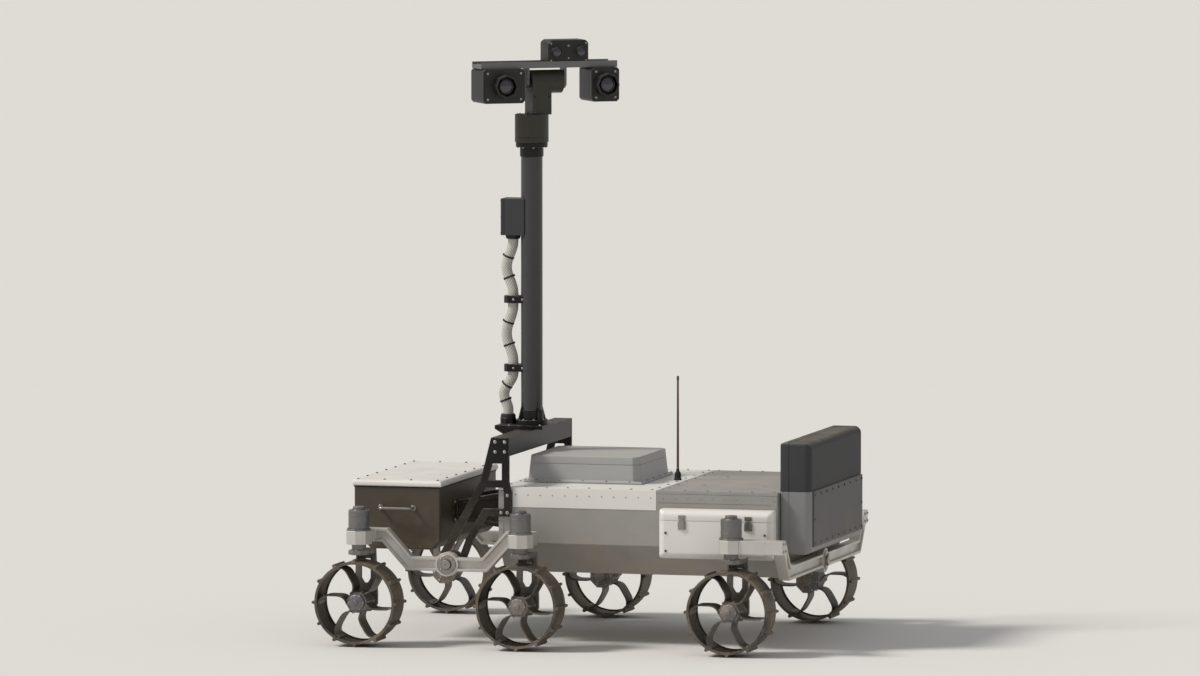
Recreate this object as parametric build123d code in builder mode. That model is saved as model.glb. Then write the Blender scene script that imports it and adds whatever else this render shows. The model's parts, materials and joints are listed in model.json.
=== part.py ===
"""Planetary rover prototype: a six-wheel test rover with steered wheels and a camera mast.

Frame: +X is the way the rover drives, +Y its left side, +Z up, in millimetres.
The origin is on the ground under the middle of the rover's overall box.
Three bogies carry the wheels: one along each side for the front and middle wheels,
and one across the back for the rear pair. Every wheel steers about a vertical axis
through its own centre and is driven from inside its hub.
"""

import os
from math import cos, pi, sin

from build123d import *

# Wheels
wheel_radius = 142.5  # over the grousers
wheel_width = 120
grouser_count = 12
grouser_height = 9
grouser_foot = 12  # how wide each stands on the rim
grouser_slope = 78  # degrees
rim_sides = 36
rim_thickness = 3
spoke_count = 6
spoke_width = 76
spoke_thickness = 4.4
spoke_bow = 22  # how far a leaf spoke bows out of its radius
hub_across_flats = 66
hub_reach = 30  # outboard of the wheel's centre plane
seat_depth = 1  # how deep one shape of a piece runs into the next
running_gap = 0.3  # between a shaft and what it turns in

# Drive motors and steering knuckles
drive_radius = 20
drive_reach = 13  # outboard of the wheel's centre plane
drive_end_gap = 2
knuckle_side_gap = 18  # beside the wheel
knuckle_top_gap = 11  # over the wheel
knuckle_thickness = 14
knuckle_half_width = 32
knuckle_rim = 18  # around the drive motor
steer_flange_radius = 24
arm_window_top = 20  # under the knuckle's top plate
arm_window_rim = 16

# Steering motors
steer_motor_radius = 34
steer_motor_height = 66

# Body, hollow
body_back_x = -692
body_front_x = 238
body_half_width = 380
body_half_width_low = 300
body_bottom_z = 230
body_knee_z = 330
body_top_z = 500
body_wall = 4
deck_thickness = 10
deck_split_x = -290
deck_split_gap = 2
payload_spacing_x = 200
payload_spacing_y = 300
payload_hole_radius = 3.3

# Bogies
bogie_gap = 40  # between the front frame's side plate and a side bogie
bogie_depth = 44
bogie_thickness = 36
bogie_arm_width = 50
bogie_wheel_offset = 82  # from a side bogie's outer face to the wheel's centre plane
bogie_lift = 20  # from the knuckle up to the bogie
bogie_low_z = 262  # of the beams' low runs and the pivots in them
side_low_half = 126  # of a side beam's low run, either way from its pivot
side_knee = 208  # from the pivot out to where the beam levels off again
rear_low_inset = 80  # from a rear wheel's centre plane in to the beam's low run
rear_knee_inset = 10
rear_beam_gap = 30  # behind the body
pivot_radius = 16
pivot_boss_radius = 40
pivot_collar_half = 24
pivot_end = 10  # how far a pivot stands out of its bogie
pocket_rim = 9  # of the beams' milled pockets
pocket_depth = 12  # on both faces, which leaves a web between them
head_margin = 6  # of a bogie's head around its steering motor
beam_end = 25  # past a wheel's steering axis

# Where the wheels stand
front_x = 658
middle_x = 118
rear_x = -582
axle_z = wheel_radius

# What stands on the body and beside it
deck_box_length = 400
deck_box_width = 400
deck_box_height = 88
deck_box_x = 5
deck_box_corner = 24
deck_box_draft = 6  # degrees
deck_box_skirt = 8  # its flange, as wide as it is thick
case_edge = 14  # chamfer along the outer edges of the panniers and the rear case
antenna_x = -262
antenna_height = 340
antenna_radius = 4
antenna_base_radius = 13
antenna_base_height = 30
pannier_length = 380
pannier_depth = 60
pannier_height = 160
pannier_x = -500
pannier_z = 296
case_width = 700
case_z = 310
case_height = 360
case_panel_inset = 24
case_panel_height = 180
case_panel_thickness = 6

# Front frame and what it carries
frame_thickness = 12
frame_strut = 70
frame_lower_flare = 5  # of the front edge, down at the pivot
frame_tab_length = 45  # along the body's side
frame_tab_height = 80
frame_tab_z = 415
frame_rim = 24  # round the windows in the side plates
frame_tie_z = 520  # the tie between the two windows
frame_tie_depth = 24
crossbeam_x = 230
crossbeam_side = 60
crossbeam_wall = 4
crossbeam_z = 610
front_box_x = 590
front_box_length = 290
front_box_width = 680
front_box_height = 205
front_box_z = 295
front_lid_thickness = 20
front_lid_reach = 6  # past the box, all round
front_lid_edge = 7
front_box_nose = 55  # cut off the lower front edge
front_box_heel = 25  # cut off the lower back edge
front_arm_y = 150
front_arm_width = 40
front_arm_root_z = 350
front_arm_root_height = 130
front_arm_tip_z = 380
front_arm_tip_height = 60
front_arm_rim = 12
front_arm_web = 8

# Mast
mast_radius = 35
mast_height = 906
mast_flange_radius = 52
mast_flange_thickness = 16
mast_rib_count = 4
mast_rib_thickness = 6
mast_rib_height = 60
foot_thickness = 12
foot_half_width = 70
foot_margin = 25  # behind the crossbeam
foot_rib_thickness = 10
foot_rib_height = 45
harness_radius = 18
harness_sides = 8
harness_offset = 63  # from the mast's axis, at the clamps
harness_bulge = 22
harness_grip = 20  # how far it runs straight on either side of a clamp
bow_steps = 7
harness_foot_offset = 80
harness_boss_height = 20
clamp_drops = (434, 210)  # below the junction box
clamp_height = 24
clamp_wall = 9
clamp_slack = 0.8
junction_z = 1300
junction_height = 120
junction_length = 80
junction_width = 70
junction_offset = 56

# Camera head, in its own frame: x the way it looks, y to its left
park_pan = 125  # degrees that the head is turned from straight ahead
pan_radius = 55
pan_height = 90
neck_width = 65
tilt_lift = 106  # from the pan unit's top up to the tilt axis
tilt_y = 45  # from the pan axis out to the middle of the tilt unit and the bench
tilt_radius = 38
tilt_half_length = 55
tilt_pin_radius = 10
cheek_gap = 5
cheek_thickness = 8
cheek_half_width = 22
bench_half_length = 235
bench_half_depth = 45
bench_thickness = 12
bench_lift = 46  # from the tilt axis to the underside of the bench
bench_lip = 9
bench_lip_thickness = 4
camera_depth = 120
camera_height = 112
camera_shift = 5  # forward of the tilt axis
camera_widths = {"left": 96, "right": 144}
camera_edge = 8
hood_radius = 36
hood_wall = 6
hood_length = 30
lens_radius = 24
lens_length = 20
top_camera_depth = 80
top_camera_width = 140
top_camera_height = 78
top_camera_edge = 10
top_camera_shift = 68  # to the left of the bench's middle
top_lens_spacing = 84
top_lens_radius = 17
top_lens_length = 12

os.makedirs("parts", exist_ok=True)

# Wheel assembly, from the wheel's centre plane and axle
rim_radius = wheel_radius - grouser_height
rim_inner = rim_radius - rim_thickness
hub_radius = hub_across_flats / 2
knuckle_inner = wheel_width / 2 + knuckle_side_gap
knuckle_outer = knuckle_inner + knuckle_thickness
knuckle_low_z = axle_z + wheel_radius + knuckle_top_gap
knuckle_top_z = knuckle_low_z + knuckle_thickness
head_z = knuckle_top_z + bogie_lift
head_top_z = head_z + bogie_depth
head_radius = steer_motor_radius + head_margin
half_bogie = bogie_depth / 2

# Across the rover, from the body out to the wheels
frame_outer_y = body_half_width + frame_thickness
bogie_inner_y = frame_outer_y + bogie_gap
bogie_outer_y = bogie_inner_y + bogie_thickness
half_track = bogie_outer_y + bogie_wheel_offset

# Along the rover and up it
side_pivot_x = (front_x + middle_x) / 2
rear_beam_x = body_back_x - rear_beam_gap
case_back_x = -(front_x + wheel_radius)
deck_top_z = body_top_z + deck_thickness
crossbeam_top_z = crossbeam_z + crossbeam_side
half_crossbeam = crossbeam_side / 2
foot_top_z = crossbeam_top_z + foot_thickness
mast_top_z = foot_top_z + mast_height
pan_z = mast_top_z + mast_flange_thickness + running_gap
pan_top_z = pan_z + pan_height
tilt_axis_z = pan_top_z + tilt_lift
bench_z = tilt_axis_z + bench_lift

# name: (x of the steering axis, side with 1 for left and -1 for right)
wheel_spots = {
    "front_left": (front_x, 1),
    "front_right": (front_x, -1),
    "middle_left": (middle_x, 1),
    "middle_right": (middle_x, -1),
    "rear_left": (rear_x, 1),
    "rear_right": (rear_x, -1),
}
side_names = {1: "left", -1: "right"}


def save(part, name):
    """Labels a finished piece and writes it as one STEP file."""
    part.label = name
    export_step(part, f"parts/{name}.step")


def at_wheel(x, side):
    """Puts a left-hand piece at a wheel's steering axis, turned round for the right side."""
    return Location((x, side * half_track, 0), (0, 0, 0 if side > 0 else 180))


def upright(y):
    """A plane along the rover at y: its x is forward, its y up, and it faces right."""
    return Plane((0, y, 0), x_dir=(1, 0, 0), z_dir=(0, -1, 0))


def make_wheel():
    """One left wheel about +Y, open on its inboard side, with leaf spokes between hub and rim."""
    half_leaf = spoke_thickness / 2
    inner = (hub_radius - seat_depth, 0)
    outer = (rim_inner + seat_depth, 0)
    near = (inner[0] + 0.24 * (outer[0] - inner[0]), spoke_bow)
    far = (inner[0] + 0.7 * (outer[0] - inner[0]), spoke_bow)
    line = [inner, near, far, outer]
    leaf = [(x, y - half_leaf) for x, y in line] + [(x, y + half_leaf) for x, y in reversed(line)]
    with BuildPart() as wheel:
        with BuildSketch(Plane.XZ):
            RegularPolygon(rim_radius, rim_sides)
            RegularPolygon(rim_inner, rim_sides, mode=Mode.SUBTRACT)
        extrude(amount=wheel_width / 2, both=True)
        with BuildSketch(Plane.XZ):
            with PolarLocations(rim_radius - seat_depth, grouser_count):
                Trapezoid(
                    grouser_foot,
                    grouser_height + seat_depth,
                    grouser_slope,
                    rotation=-90,
                    align=(Align.CENTER, Align.MIN),
                )
        extrude(amount=wheel_width / 2, both=True)
        with BuildSketch(Plane.XZ):
            with PolarLocations(0, spoke_count):
                Polygon(*leaf, align=None)
        extrude(amount=spoke_width / 2, both=True)
        with BuildSketch(Plane.XZ.offset(-hub_reach)):
            RegularPolygon(hub_radius, 6, major_radius=False, rotation=30)
        extrude(amount=hub_reach + wheel_width / 2)
        with BuildSketch(Plane.XZ.offset(wheel_width / 2)):
            Circle(drive_radius + running_gap)
        extrude(amount=-(wheel_width / 2 + drive_reach + drive_end_gap), mode=Mode.SUBTRACT)
    return wheel.part


def make_knuckle():
    """A left wheel's steered bracket: output flange on top, an arm inboard, the drive motor."""
    nose = 0.4 * knuckle_half_width
    arm_half = drive_radius + knuckle_rim
    with BuildPart() as knuckle:
        with BuildSketch(Plane.XY.offset(knuckle_low_z)):
            Polygon(
                (-knuckle_half_width, -knuckle_outer),
                (knuckle_half_width, -knuckle_outer),
                (knuckle_half_width, nose),
                (nose, knuckle_half_width),
                (-nose, knuckle_half_width),
                (-knuckle_half_width, nose),
                align=None,
            )
        extrude(amount=knuckle_thickness)
        with BuildSketch(Plane.XZ.offset(knuckle_inner)):
            Polygon(
                (-knuckle_half_width, knuckle_top_z),
                (knuckle_half_width, knuckle_top_z),
                (arm_half, axle_z + 0.5 * arm_half),
                (arm_half, axle_z - 0.4 * arm_half),
                (0.4 * arm_half, axle_z - arm_half),
                (-0.4 * arm_half, axle_z - arm_half),
                (-arm_half, axle_z - 0.4 * arm_half),
                (-arm_half, axle_z + 0.5 * arm_half),
                align=None,
            )
        extrude(amount=knuckle_thickness)
        window_top_z = knuckle_low_z - arm_window_top
        window_low_z = axle_z + arm_half + arm_window_rim
        window_half = knuckle_half_width - arm_window_rim
        with BuildSketch(Plane.XZ.offset(knuckle_inner)):
            Polygon(
                (-window_half, window_top_z),
                (window_half, window_top_z),
                (window_half, window_low_z + window_half),
                (0.4 * window_half, window_low_z),
                (-0.4 * window_half, window_low_z),
                (-window_half, window_low_z + window_half),
                align=None,
            )
        extrude(amount=knuckle_thickness, mode=Mode.SUBTRACT)
        with BuildSketch(Plane.XZ.offset(knuckle_inner)):
            with Locations((0, axle_z)):
                Circle(drive_radius)
        extrude(amount=-(knuckle_inner + drive_reach))
        with BuildSketch(Plane.XY.offset(knuckle_top_z)):
            RegularPolygon(steer_flange_radius, 12)
        extrude(amount=bogie_lift - running_gap)
    return knuckle.part


def beam_points(middle, low_half, knee, end):
    """Corners of a beam seen from the side: a low run through the pivot, rising to level ends."""
    slant = 0.4 * half_bogie
    above = bogie_low_z + half_bogie
    below = bogie_low_z - half_bogie
    right = [
        (low_half + slant, below),
        (knee + slant, head_z),
        (end, head_z),
        (end, head_top_z),
        (knee - slant, head_top_z),
        (low_half - slant, above),
    ]
    left = [(-x, z) for x, z in reversed(right)]
    return [(middle + x, z) for x, z in right + left]


def make_side_bogie(side):
    """The bogie along one side, for the front and the middle wheel."""
    corners = beam_points(side_pivot_x, side_low_half, side_knee, front_x - side_pivot_x + beam_end)
    inner = upright(side * bogie_inner_y)
    arm_length = half_track - bogie_inner_y
    pocket_length = bogie_arm_width + 2 * pocket_rim
    with BuildPart() as bogie:
        with BuildSketch(inner):
            Polygon(*corners, align=None)
            with Locations((side_pivot_x, bogie_low_z)):
                RegularPolygon(pivot_boss_radius, 12)
        extrude(amount=-side * bogie_thickness)
        for face_y, inward in ((bogie_inner_y, 1), (bogie_outer_y, -1)):
            with BuildSketch(upright(side * face_y)):
                Polygon(*corners, align=None)
                offset(amount=-pocket_rim, kind=Kind.INTERSECTION)
                with Locations((side_pivot_x, bogie_low_z)):
                    RegularPolygon(pivot_boss_radius, 12, mode=Mode.SUBTRACT)
                with Locations((front_x, head_z), (middle_x, head_z)):
                    Rectangle(pocket_length, 2 * bogie_depth, mode=Mode.SUBTRACT)
            extrude(amount=-side * inward * pocket_depth, mode=Mode.SUBTRACT)
        with BuildSketch(Plane.XY.offset(head_z)):
            for x in (front_x, middle_x):
                with Locations((x, side * (half_track - arm_length / 2))):
                    Rectangle(bogie_arm_width, arm_length)
                with Locations((x, side * half_track)):
                    RegularPolygon(head_radius, 8, major_radius=False)
        extrude(amount=bogie_depth)
        with BuildSketch(inner):
            with Locations((side_pivot_x, bogie_low_z)):
                Circle(pivot_radius + running_gap)
        extrude(amount=-side * bogie_thickness, mode=Mode.SUBTRACT)
    return bogie.part


def make_rear_bogie():
    """The bogie across the back, for the two rear wheels."""
    face = Plane((rear_beam_x, 0, 0), x_dir=(0, 1, 0), z_dir=(1, 0, 0))
    low_half = half_track - rear_low_inset
    corners = beam_points(0, low_half, half_track - rear_knee_inset, half_track + beam_end)
    reach = rear_x - rear_beam_x + bogie_thickness / 2
    pocket_length = bogie_arm_width + 2 * pocket_rim
    with BuildPart() as bogie:
        with BuildSketch(face):
            Polygon(*corners, align=None)
            with Locations((0, bogie_low_z)):
                RegularPolygon(pivot_boss_radius, 12)
        extrude(amount=-bogie_thickness)
        for depth, inward in ((0, 1), (bogie_thickness, -1)):
            with BuildSketch(face.offset(-depth)):
                Polygon(*corners, align=None)
                offset(amount=-pocket_rim, kind=Kind.INTERSECTION)
                with Locations((0, bogie_low_z)):
                    RegularPolygon(pivot_boss_radius, 12, mode=Mode.SUBTRACT)
                with Locations((half_track, head_z), (-half_track, head_z)):
                    Rectangle(pocket_length, 2 * bogie_depth, mode=Mode.SUBTRACT)
            extrude(amount=-inward * pocket_depth, mode=Mode.SUBTRACT)
        with BuildSketch(Plane.XY.offset(head_z)):
            for side in (1, -1):
                with Locations((rear_x - reach / 2, side * half_track)):
                    Rectangle(reach, bogie_arm_width)
                with Locations((rear_x, side * half_track)):
                    RegularPolygon(head_radius, 8, major_radius=False)
        extrude(amount=bogie_depth)
        with BuildSketch(face):
            with Locations((0, bogie_low_z)):
                Circle(pivot_radius + running_gap)
        extrude(amount=-bogie_thickness, mode=Mode.SUBTRACT)
    return bogie.part


def make_frame_plate(side):
    """A side plate of the front frame, with the stub shaft that its bogie hangs on."""
    strut = frame_strut / 2
    tab_x = body_front_x - frame_tab_length
    tab_top_z = frame_tab_z + frame_tab_height
    plate = upright(side * body_half_width)
    outline = [
        (crossbeam_x - half_crossbeam, crossbeam_top_z),
        (crossbeam_x + half_crossbeam, crossbeam_top_z),
        (crossbeam_x + half_crossbeam + strut, tab_top_z + strut),
        (side_pivot_x + strut + frame_lower_flare, bogie_low_z + strut),
        (side_pivot_x + strut, bogie_low_z - 0.4 * strut),
        (side_pivot_x + 0.4 * strut, bogie_low_z - strut),
        (side_pivot_x - 0.4 * strut, bogie_low_z - strut),
        (side_pivot_x - strut, bogie_low_z - 0.4 * strut),
        (side_pivot_x - 1.9 * strut, bogie_low_z + 2 * strut),
        (body_front_x + strut, frame_tab_z),
        (tab_x, frame_tab_z),
        (tab_x, tab_top_z),
        (crossbeam_x - half_crossbeam, tab_top_z + strut),
    ]
    with BuildPart() as frame:
        with BuildSketch(plate):
            Polygon(*outline, align=None)
        extrude(amount=-side * frame_thickness)
        with BuildSketch(plate):
            Polygon(*outline, align=None)
            offset(amount=-frame_rim, kind=Kind.INTERSECTION)
            with Locations((crossbeam_x, crossbeam_z + half_crossbeam)):
                Rectangle(2 * crossbeam_side, crossbeam_side + 2 * frame_rim, mode=Mode.SUBTRACT)
            with Locations((crossbeam_x, frame_tie_z)):
                Rectangle(4 * crossbeam_side, frame_tie_depth, mode=Mode.SUBTRACT)
            with Locations((side_pivot_x, bogie_low_z)):
                RegularPolygon(pivot_boss_radius, 12, mode=Mode.SUBTRACT)
        extrude(amount=-side * frame_thickness, mode=Mode.SUBTRACT)
        with BuildSketch(plate):
            with Locations((side_pivot_x, bogie_low_z)):
                RegularPolygon(pivot_collar_half, 6, major_radius=False)
        extrude(amount=-side * (bogie_inner_y - body_half_width - running_gap))
        with BuildSketch(plate):
            with Locations((side_pivot_x, bogie_low_z)):
                Circle(pivot_radius)
        extrude(amount=-side * (bogie_outer_y - body_half_width + pivot_end))
    return frame.part


# Wheels, knuckles and steering motors

wheel_shape = make_wheel()
knuckle_shape = make_knuckle()
for spot, (spot_x, spot_side) in wheel_spots.items():
    place = at_wheel(spot_x, spot_side)
    save(wheel_shape.moved(place * Location((0, 0, axle_z))), f"wheel_{spot}")
    save(knuckle_shape.moved(place), f"knuckle_{spot}")

with BuildPart() as motors:
    with BuildSketch(Plane.XY.offset(head_top_z)):
        for spot_x, spot_side in wheel_spots.values():
            with Locations((spot_x, spot_side * half_track)):
                Circle(steer_motor_radius)
    extrude(amount=steer_motor_height)
save(motors.part, "steering_motors")

# Bogies and the frame that carries them

for sign, name in side_names.items():
    save(make_side_bogie(sign), f"bogie_{name}")
    save(make_frame_plate(sign), f"frame_plate_{name}")
save(make_rear_bogie(), "bogie_rear")

with BuildPart() as rear_pivot:
    back = Plane((body_back_x, 0, 0), x_dir=(0, -1, 0), z_dir=(-1, 0, 0))
    with BuildSketch(back):
        with Locations((0, bogie_low_z)):
            RegularPolygon(pivot_collar_half, 6, major_radius=False)
    extrude(amount=rear_beam_gap - running_gap)
    with BuildSketch(back):
        with Locations((0, bogie_low_z)):
            Circle(pivot_radius)
    extrude(amount=rear_beam_gap + bogie_thickness + pivot_end)
save(rear_pivot.part, "rear_pivot")

with BuildPart() as crossbeam:
    with BuildSketch(upright(body_half_width)):
        with Locations((crossbeam_x, crossbeam_z + half_crossbeam)):
            Rectangle(crossbeam_side, crossbeam_side)
            inside = crossbeam_side - 2 * crossbeam_wall
            Rectangle(inside, inside, mode=Mode.SUBTRACT)
    extrude(amount=2 * body_half_width)
save(crossbeam.part, "crossbeam")

# Body, deck and what stands on them

with BuildPart() as body:
    with BuildSketch(Plane.YZ.offset(body_back_x)):
        Polygon(
            (-body_half_width, body_top_z),
            (-body_half_width, body_knee_z),
            (-body_half_width_low, body_bottom_z),
            (body_half_width_low, body_bottom_z),
            (body_half_width, body_knee_z),
            (body_half_width, body_top_z),
            align=None,
        )
    extrude(amount=body_front_x - body_back_x)
    offset(amount=-body_wall, openings=body.faces().sort_by(Axis.Z)[-1])
save(body.part, "body_tub")

with BuildPart() as front_deck:
    deck_front_length = body_front_x - deck_split_x - deck_split_gap
    with BuildSketch(Plane.XY.offset(body_top_z)):
        with Locations((body_front_x - deck_front_length / 2, 0)):
            Rectangle(deck_front_length, 2 * body_half_width)
    extrude(amount=deck_thickness)
save(front_deck.part, "deck_panel_front")

with BuildPart() as rear_deck:
    deck_rear_length = deck_split_x - body_back_x
    with BuildSketch(Plane.XY.offset(body_top_z)):
        with Locations((body_back_x + deck_rear_length / 2, 0)):
            Rectangle(deck_rear_length, 2 * body_half_width)
            with GridLocations(payload_spacing_x, payload_spacing_y, 2, 2):
                Circle(payload_hole_radius, mode=Mode.SUBTRACT)
    extrude(amount=deck_thickness)
save(rear_deck.part, "deck_panel_rear")

on_base = (Align.CENTER, Align.CENTER, Align.MIN)
with BuildPart() as deck_box:
    inside_skirt = 2 * deck_box_skirt
    with BuildSketch(Plane.XY.offset(deck_top_z)):
        with Locations((deck_box_x, 0)):
            Rectangle(deck_box_length, deck_box_width)
    extrude(amount=deck_box_skirt)
    with BuildSketch(Plane.XY.offset(deck_top_z)) as cover:
        with Locations((deck_box_x, 0)):
            Rectangle(deck_box_length - inside_skirt, deck_box_width - inside_skirt)
        chamfer(cover.vertices(), deck_box_corner)
    extrude(amount=deck_box_height, taper=deck_box_draft)
save(deck_box.part, "deck_box")

with BuildPart() as antenna:
    with BuildSketch(Plane.XY.offset(deck_top_z)):
        with Locations((antenna_x, 0)):
            RegularPolygon(antenna_base_radius, 6)
    extrude(amount=antenna_base_height)
    with BuildSketch(Plane.XY.offset(deck_top_z)):
        with Locations((antenna_x, 0)):
            RegularPolygon(antenna_radius, 8)
    extrude(amount=antenna_height)
save(antenna.part, "whip_antenna")

for sign, name in side_names.items():
    with BuildPart() as pannier:
        with Locations((pannier_x, sign * (body_half_width + pannier_depth / 2), pannier_z)):
            Box(pannier_length, pannier_depth, pannier_height, align=on_base)
        chamfer(pannier.faces().sort_by(Axis.Y)[-1 if sign > 0 else 0].edges(), case_edge)
    save(pannier.part, f"pannier_{name}")

case_depth = body_back_x - case_back_x - case_panel_thickness
with BuildPart() as rear_case:
    with Locations((body_back_x - case_depth / 2, 0, case_z)):
        Box(case_depth, case_width, case_height, align=on_base)
    chamfer(rear_case.faces().sort_by(Axis.X)[0].edges(), case_edge)
save(rear_case.part, "rear_case")

with BuildPart() as rear_panel:
    with Locations((case_back_x + case_panel_thickness / 2, 0, case_z + case_panel_inset)):
        panel_width = case_width - 2 * case_panel_inset
        Box(case_panel_thickness, panel_width, case_panel_height, align=on_base)
save(rear_panel.part, "rear_case_panel")

front_box_back_x = front_box_x - front_box_length / 2
with BuildPart() as front_arms:
    arm_outline = [
        (body_front_x, front_arm_root_z),
        (front_box_back_x, front_arm_tip_z),
        (front_box_back_x, front_arm_tip_z + front_arm_tip_height),
        (body_front_x, front_arm_root_z + front_arm_root_height),
    ]
    arm_pocket = (front_arm_width - front_arm_web) / 2
    for sign in (1, -1):
        with BuildSketch(upright(sign * front_arm_y + front_arm_width / 2)):
            Polygon(*arm_outline, align=None)
        extrude(amount=front_arm_width)
        for face, inward in ((front_arm_width / 2, 1), (-front_arm_width / 2, -1)):
            with BuildSketch(upright(sign * front_arm_y + face)):
                Polygon(*arm_outline, align=None)
                offset(amount=-front_arm_rim, kind=Kind.INTERSECTION)
            extrude(amount=inward * arm_pocket, mode=Mode.SUBTRACT)
save(front_arms.part, "front_arms")

front_box_front_x = front_box_x + front_box_length / 2
front_box_top_z = front_box_z + front_box_height
with BuildPart() as front_box:
    with BuildSketch(upright(front_box_width / 2)):
        Polygon(
            (front_box_back_x, front_box_top_z),
            (front_box_back_x, front_box_z + front_box_heel),
            (front_box_back_x + front_box_heel, front_box_z),
            (front_box_front_x - front_box_nose, front_box_z),
            (front_box_front_x, front_box_z + front_box_nose),
            (front_box_front_x, front_box_top_z),
            align=None,
        )
    extrude(amount=front_box_width)
save(front_box.part, "front_box")

with BuildPart() as front_lid:
    with Locations((front_box_x, 0, front_box_top_z)):
        lid_length = front_box_length + 2 * front_lid_reach
        lid_width = front_box_width + 2 * front_lid_reach
        Box(lid_length, lid_width, front_lid_thickness, align=on_base)
    chamfer(front_lid.faces().sort_by(Axis.Z)[-1].edges(), front_lid_edge)
save(front_lid.part, "front_box_lid")

# Mast

harness_boss_half = harness_radius + clamp_wall
foot_back_x = crossbeam_x - half_crossbeam - foot_margin
foot_front_x = crossbeam_x + harness_foot_offset + harness_boss_half
with BuildPart() as mast_foot:
    with BuildSketch(Plane.XY.offset(crossbeam_top_z)):
        with Locations(((foot_back_x + foot_front_x) / 2, 0)):
            Rectangle(foot_front_x - foot_back_x, 2 * foot_half_width)
    extrude(amount=foot_thickness)
    with BuildSketch(Plane.XY.offset(foot_top_z)):
        with Locations((crossbeam_x + harness_foot_offset, 0)):
            RegularPolygon(harness_boss_half, 8)
    extrude(amount=harness_boss_height)
    for rib_y in (foot_rib_thickness - foot_half_width, foot_half_width):
        with BuildSketch(upright(rib_y)):
            Polygon(
                (crossbeam_x + half_crossbeam, crossbeam_top_z),
                (crossbeam_x + half_crossbeam, crossbeam_top_z - foot_rib_height),
                (foot_front_x, crossbeam_top_z),
                align=None,
            )
        extrude(amount=foot_rib_thickness)
save(mast_foot.part, "mast_foot")

with BuildPart() as mast_tube:
    with BuildSketch(Plane.XY.offset(foot_top_z)):
        with Locations((crossbeam_x, 0)):
            Circle(mast_flange_radius)
    extrude(amount=mast_flange_thickness)
    with BuildSketch(Plane.XY.offset(foot_top_z)):
        with Locations((crossbeam_x, 0)):
            Circle(mast_radius)
    extrude(amount=mast_height)
    with BuildSketch(Plane.XY.offset(mast_top_z)):
        with Locations((crossbeam_x, 0)):
            Circle(mast_flange_radius)
    extrude(amount=mast_flange_thickness)
    rib_root = (crossbeam_x, 0, foot_top_z + mast_flange_thickness)
    rib_angles = [2 * pi * (rib + 0.5) / mast_rib_count for rib in range(mast_rib_count)]
    rib_planes = [Plane(rib_root, x_dir=(cos(a), sin(a), 0), z_dir=(sin(a), -cos(a), 0)) for a in rib_angles]
    with BuildSketch(*rib_planes):
        Polygon(
            (mast_radius - seat_depth, 0),
            (mast_flange_radius - seat_depth, 0),
            (mast_radius - seat_depth, mast_rib_height),
            align=None,
        )
    extrude(amount=mast_rib_thickness / 2, both=True)
save(mast_tube.part, "mast_tube")

with BuildPart() as junction_box:
    with BuildSketch(Plane.XY.offset(junction_z)):
        with Locations((crossbeam_x + junction_offset, 0)):
            Rectangle(junction_length, junction_width)
        with Locations((crossbeam_x, 0)):
            Circle(mast_radius + running_gap, mode=Mode.SUBTRACT)
    extrude(amount=junction_height)
save(junction_box.part, "junction_box")

# The cable bundle stands off the mast between its clamps
near_x = crossbeam_x + harness_offset
foot_x = crossbeam_x + harness_foot_offset
clamp_levels = [junction_z - drop for drop in clamp_drops]
harness_low_z = foot_top_z + harness_boss_height
harness_top_z = junction_z - running_gap


def bow(low, high):
    """Points of the bundle from one straight run to the next, bowed away from the mast."""
    points = []
    for step in range(1, bow_steps):
        t = step / bow_steps
        out = harness_bulge * (1 - cos(2 * pi * t)) / 2
        points.append((low[0] + t * (high[0] - low[0]) + out, low[1] + t * (high[1] - low[1])))
    return points


# Straight runs of the bundle: x and the heights of both ends
runs = [(foot_x, harness_low_z, harness_low_z + harness_grip)]
runs += [(near_x, level - harness_grip, level + harness_grip) for level in clamp_levels]
runs += [(near_x, harness_top_z - harness_grip, harness_top_z)]
harness_points = []
for run_x, run_low_z, run_top_z in runs:
    if harness_points:
        harness_points += bow(harness_points[-1], (run_x, run_low_z))
    harness_points += [(run_x, run_low_z), (run_x, run_top_z)]

with BuildPart() as harness:
    with BuildLine(Plane.XZ) as harness_path:
        Polyline(*harness_points)
    with BuildSketch(Plane.XY.offset(harness_low_z)):
        with Locations((foot_x, 0)):
            RegularPolygon(harness_radius, harness_sides)
    sweep(path=harness_path.line, transition=Transition.RIGHT)
save(harness.part, "mast_harness")

with BuildPart() as clamps:
    grip_half = harness_radius + clamp_wall
    for level in clamp_levels:
        with BuildSketch(Plane.XY.offset(level - clamp_height / 2)):
            Polygon(
                (crossbeam_x, -grip_half),
                (near_x + 0.5 * grip_half, -grip_half),
                (near_x + grip_half, -0.5 * grip_half),
                (near_x + grip_half, 0.5 * grip_half),
                (near_x + 0.5 * grip_half, grip_half),
                (crossbeam_x, grip_half),
                align=None,
            )
            with Locations((crossbeam_x, 0)):
                Circle(mast_radius + running_gap, mode=Mode.SUBTRACT)
            with Locations((near_x, 0)):
                RegularPolygon(harness_radius + clamp_slack, harness_sides, mode=Mode.SUBTRACT)
        extrude(amount=clamp_height)
save(clamps.part, "mast_clamps")

# Camera head, built looking along +X over the origin and then turned to its parked pan

head_place = Location((crossbeam_x, 0, 0), (0, 0, park_pan))

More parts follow.
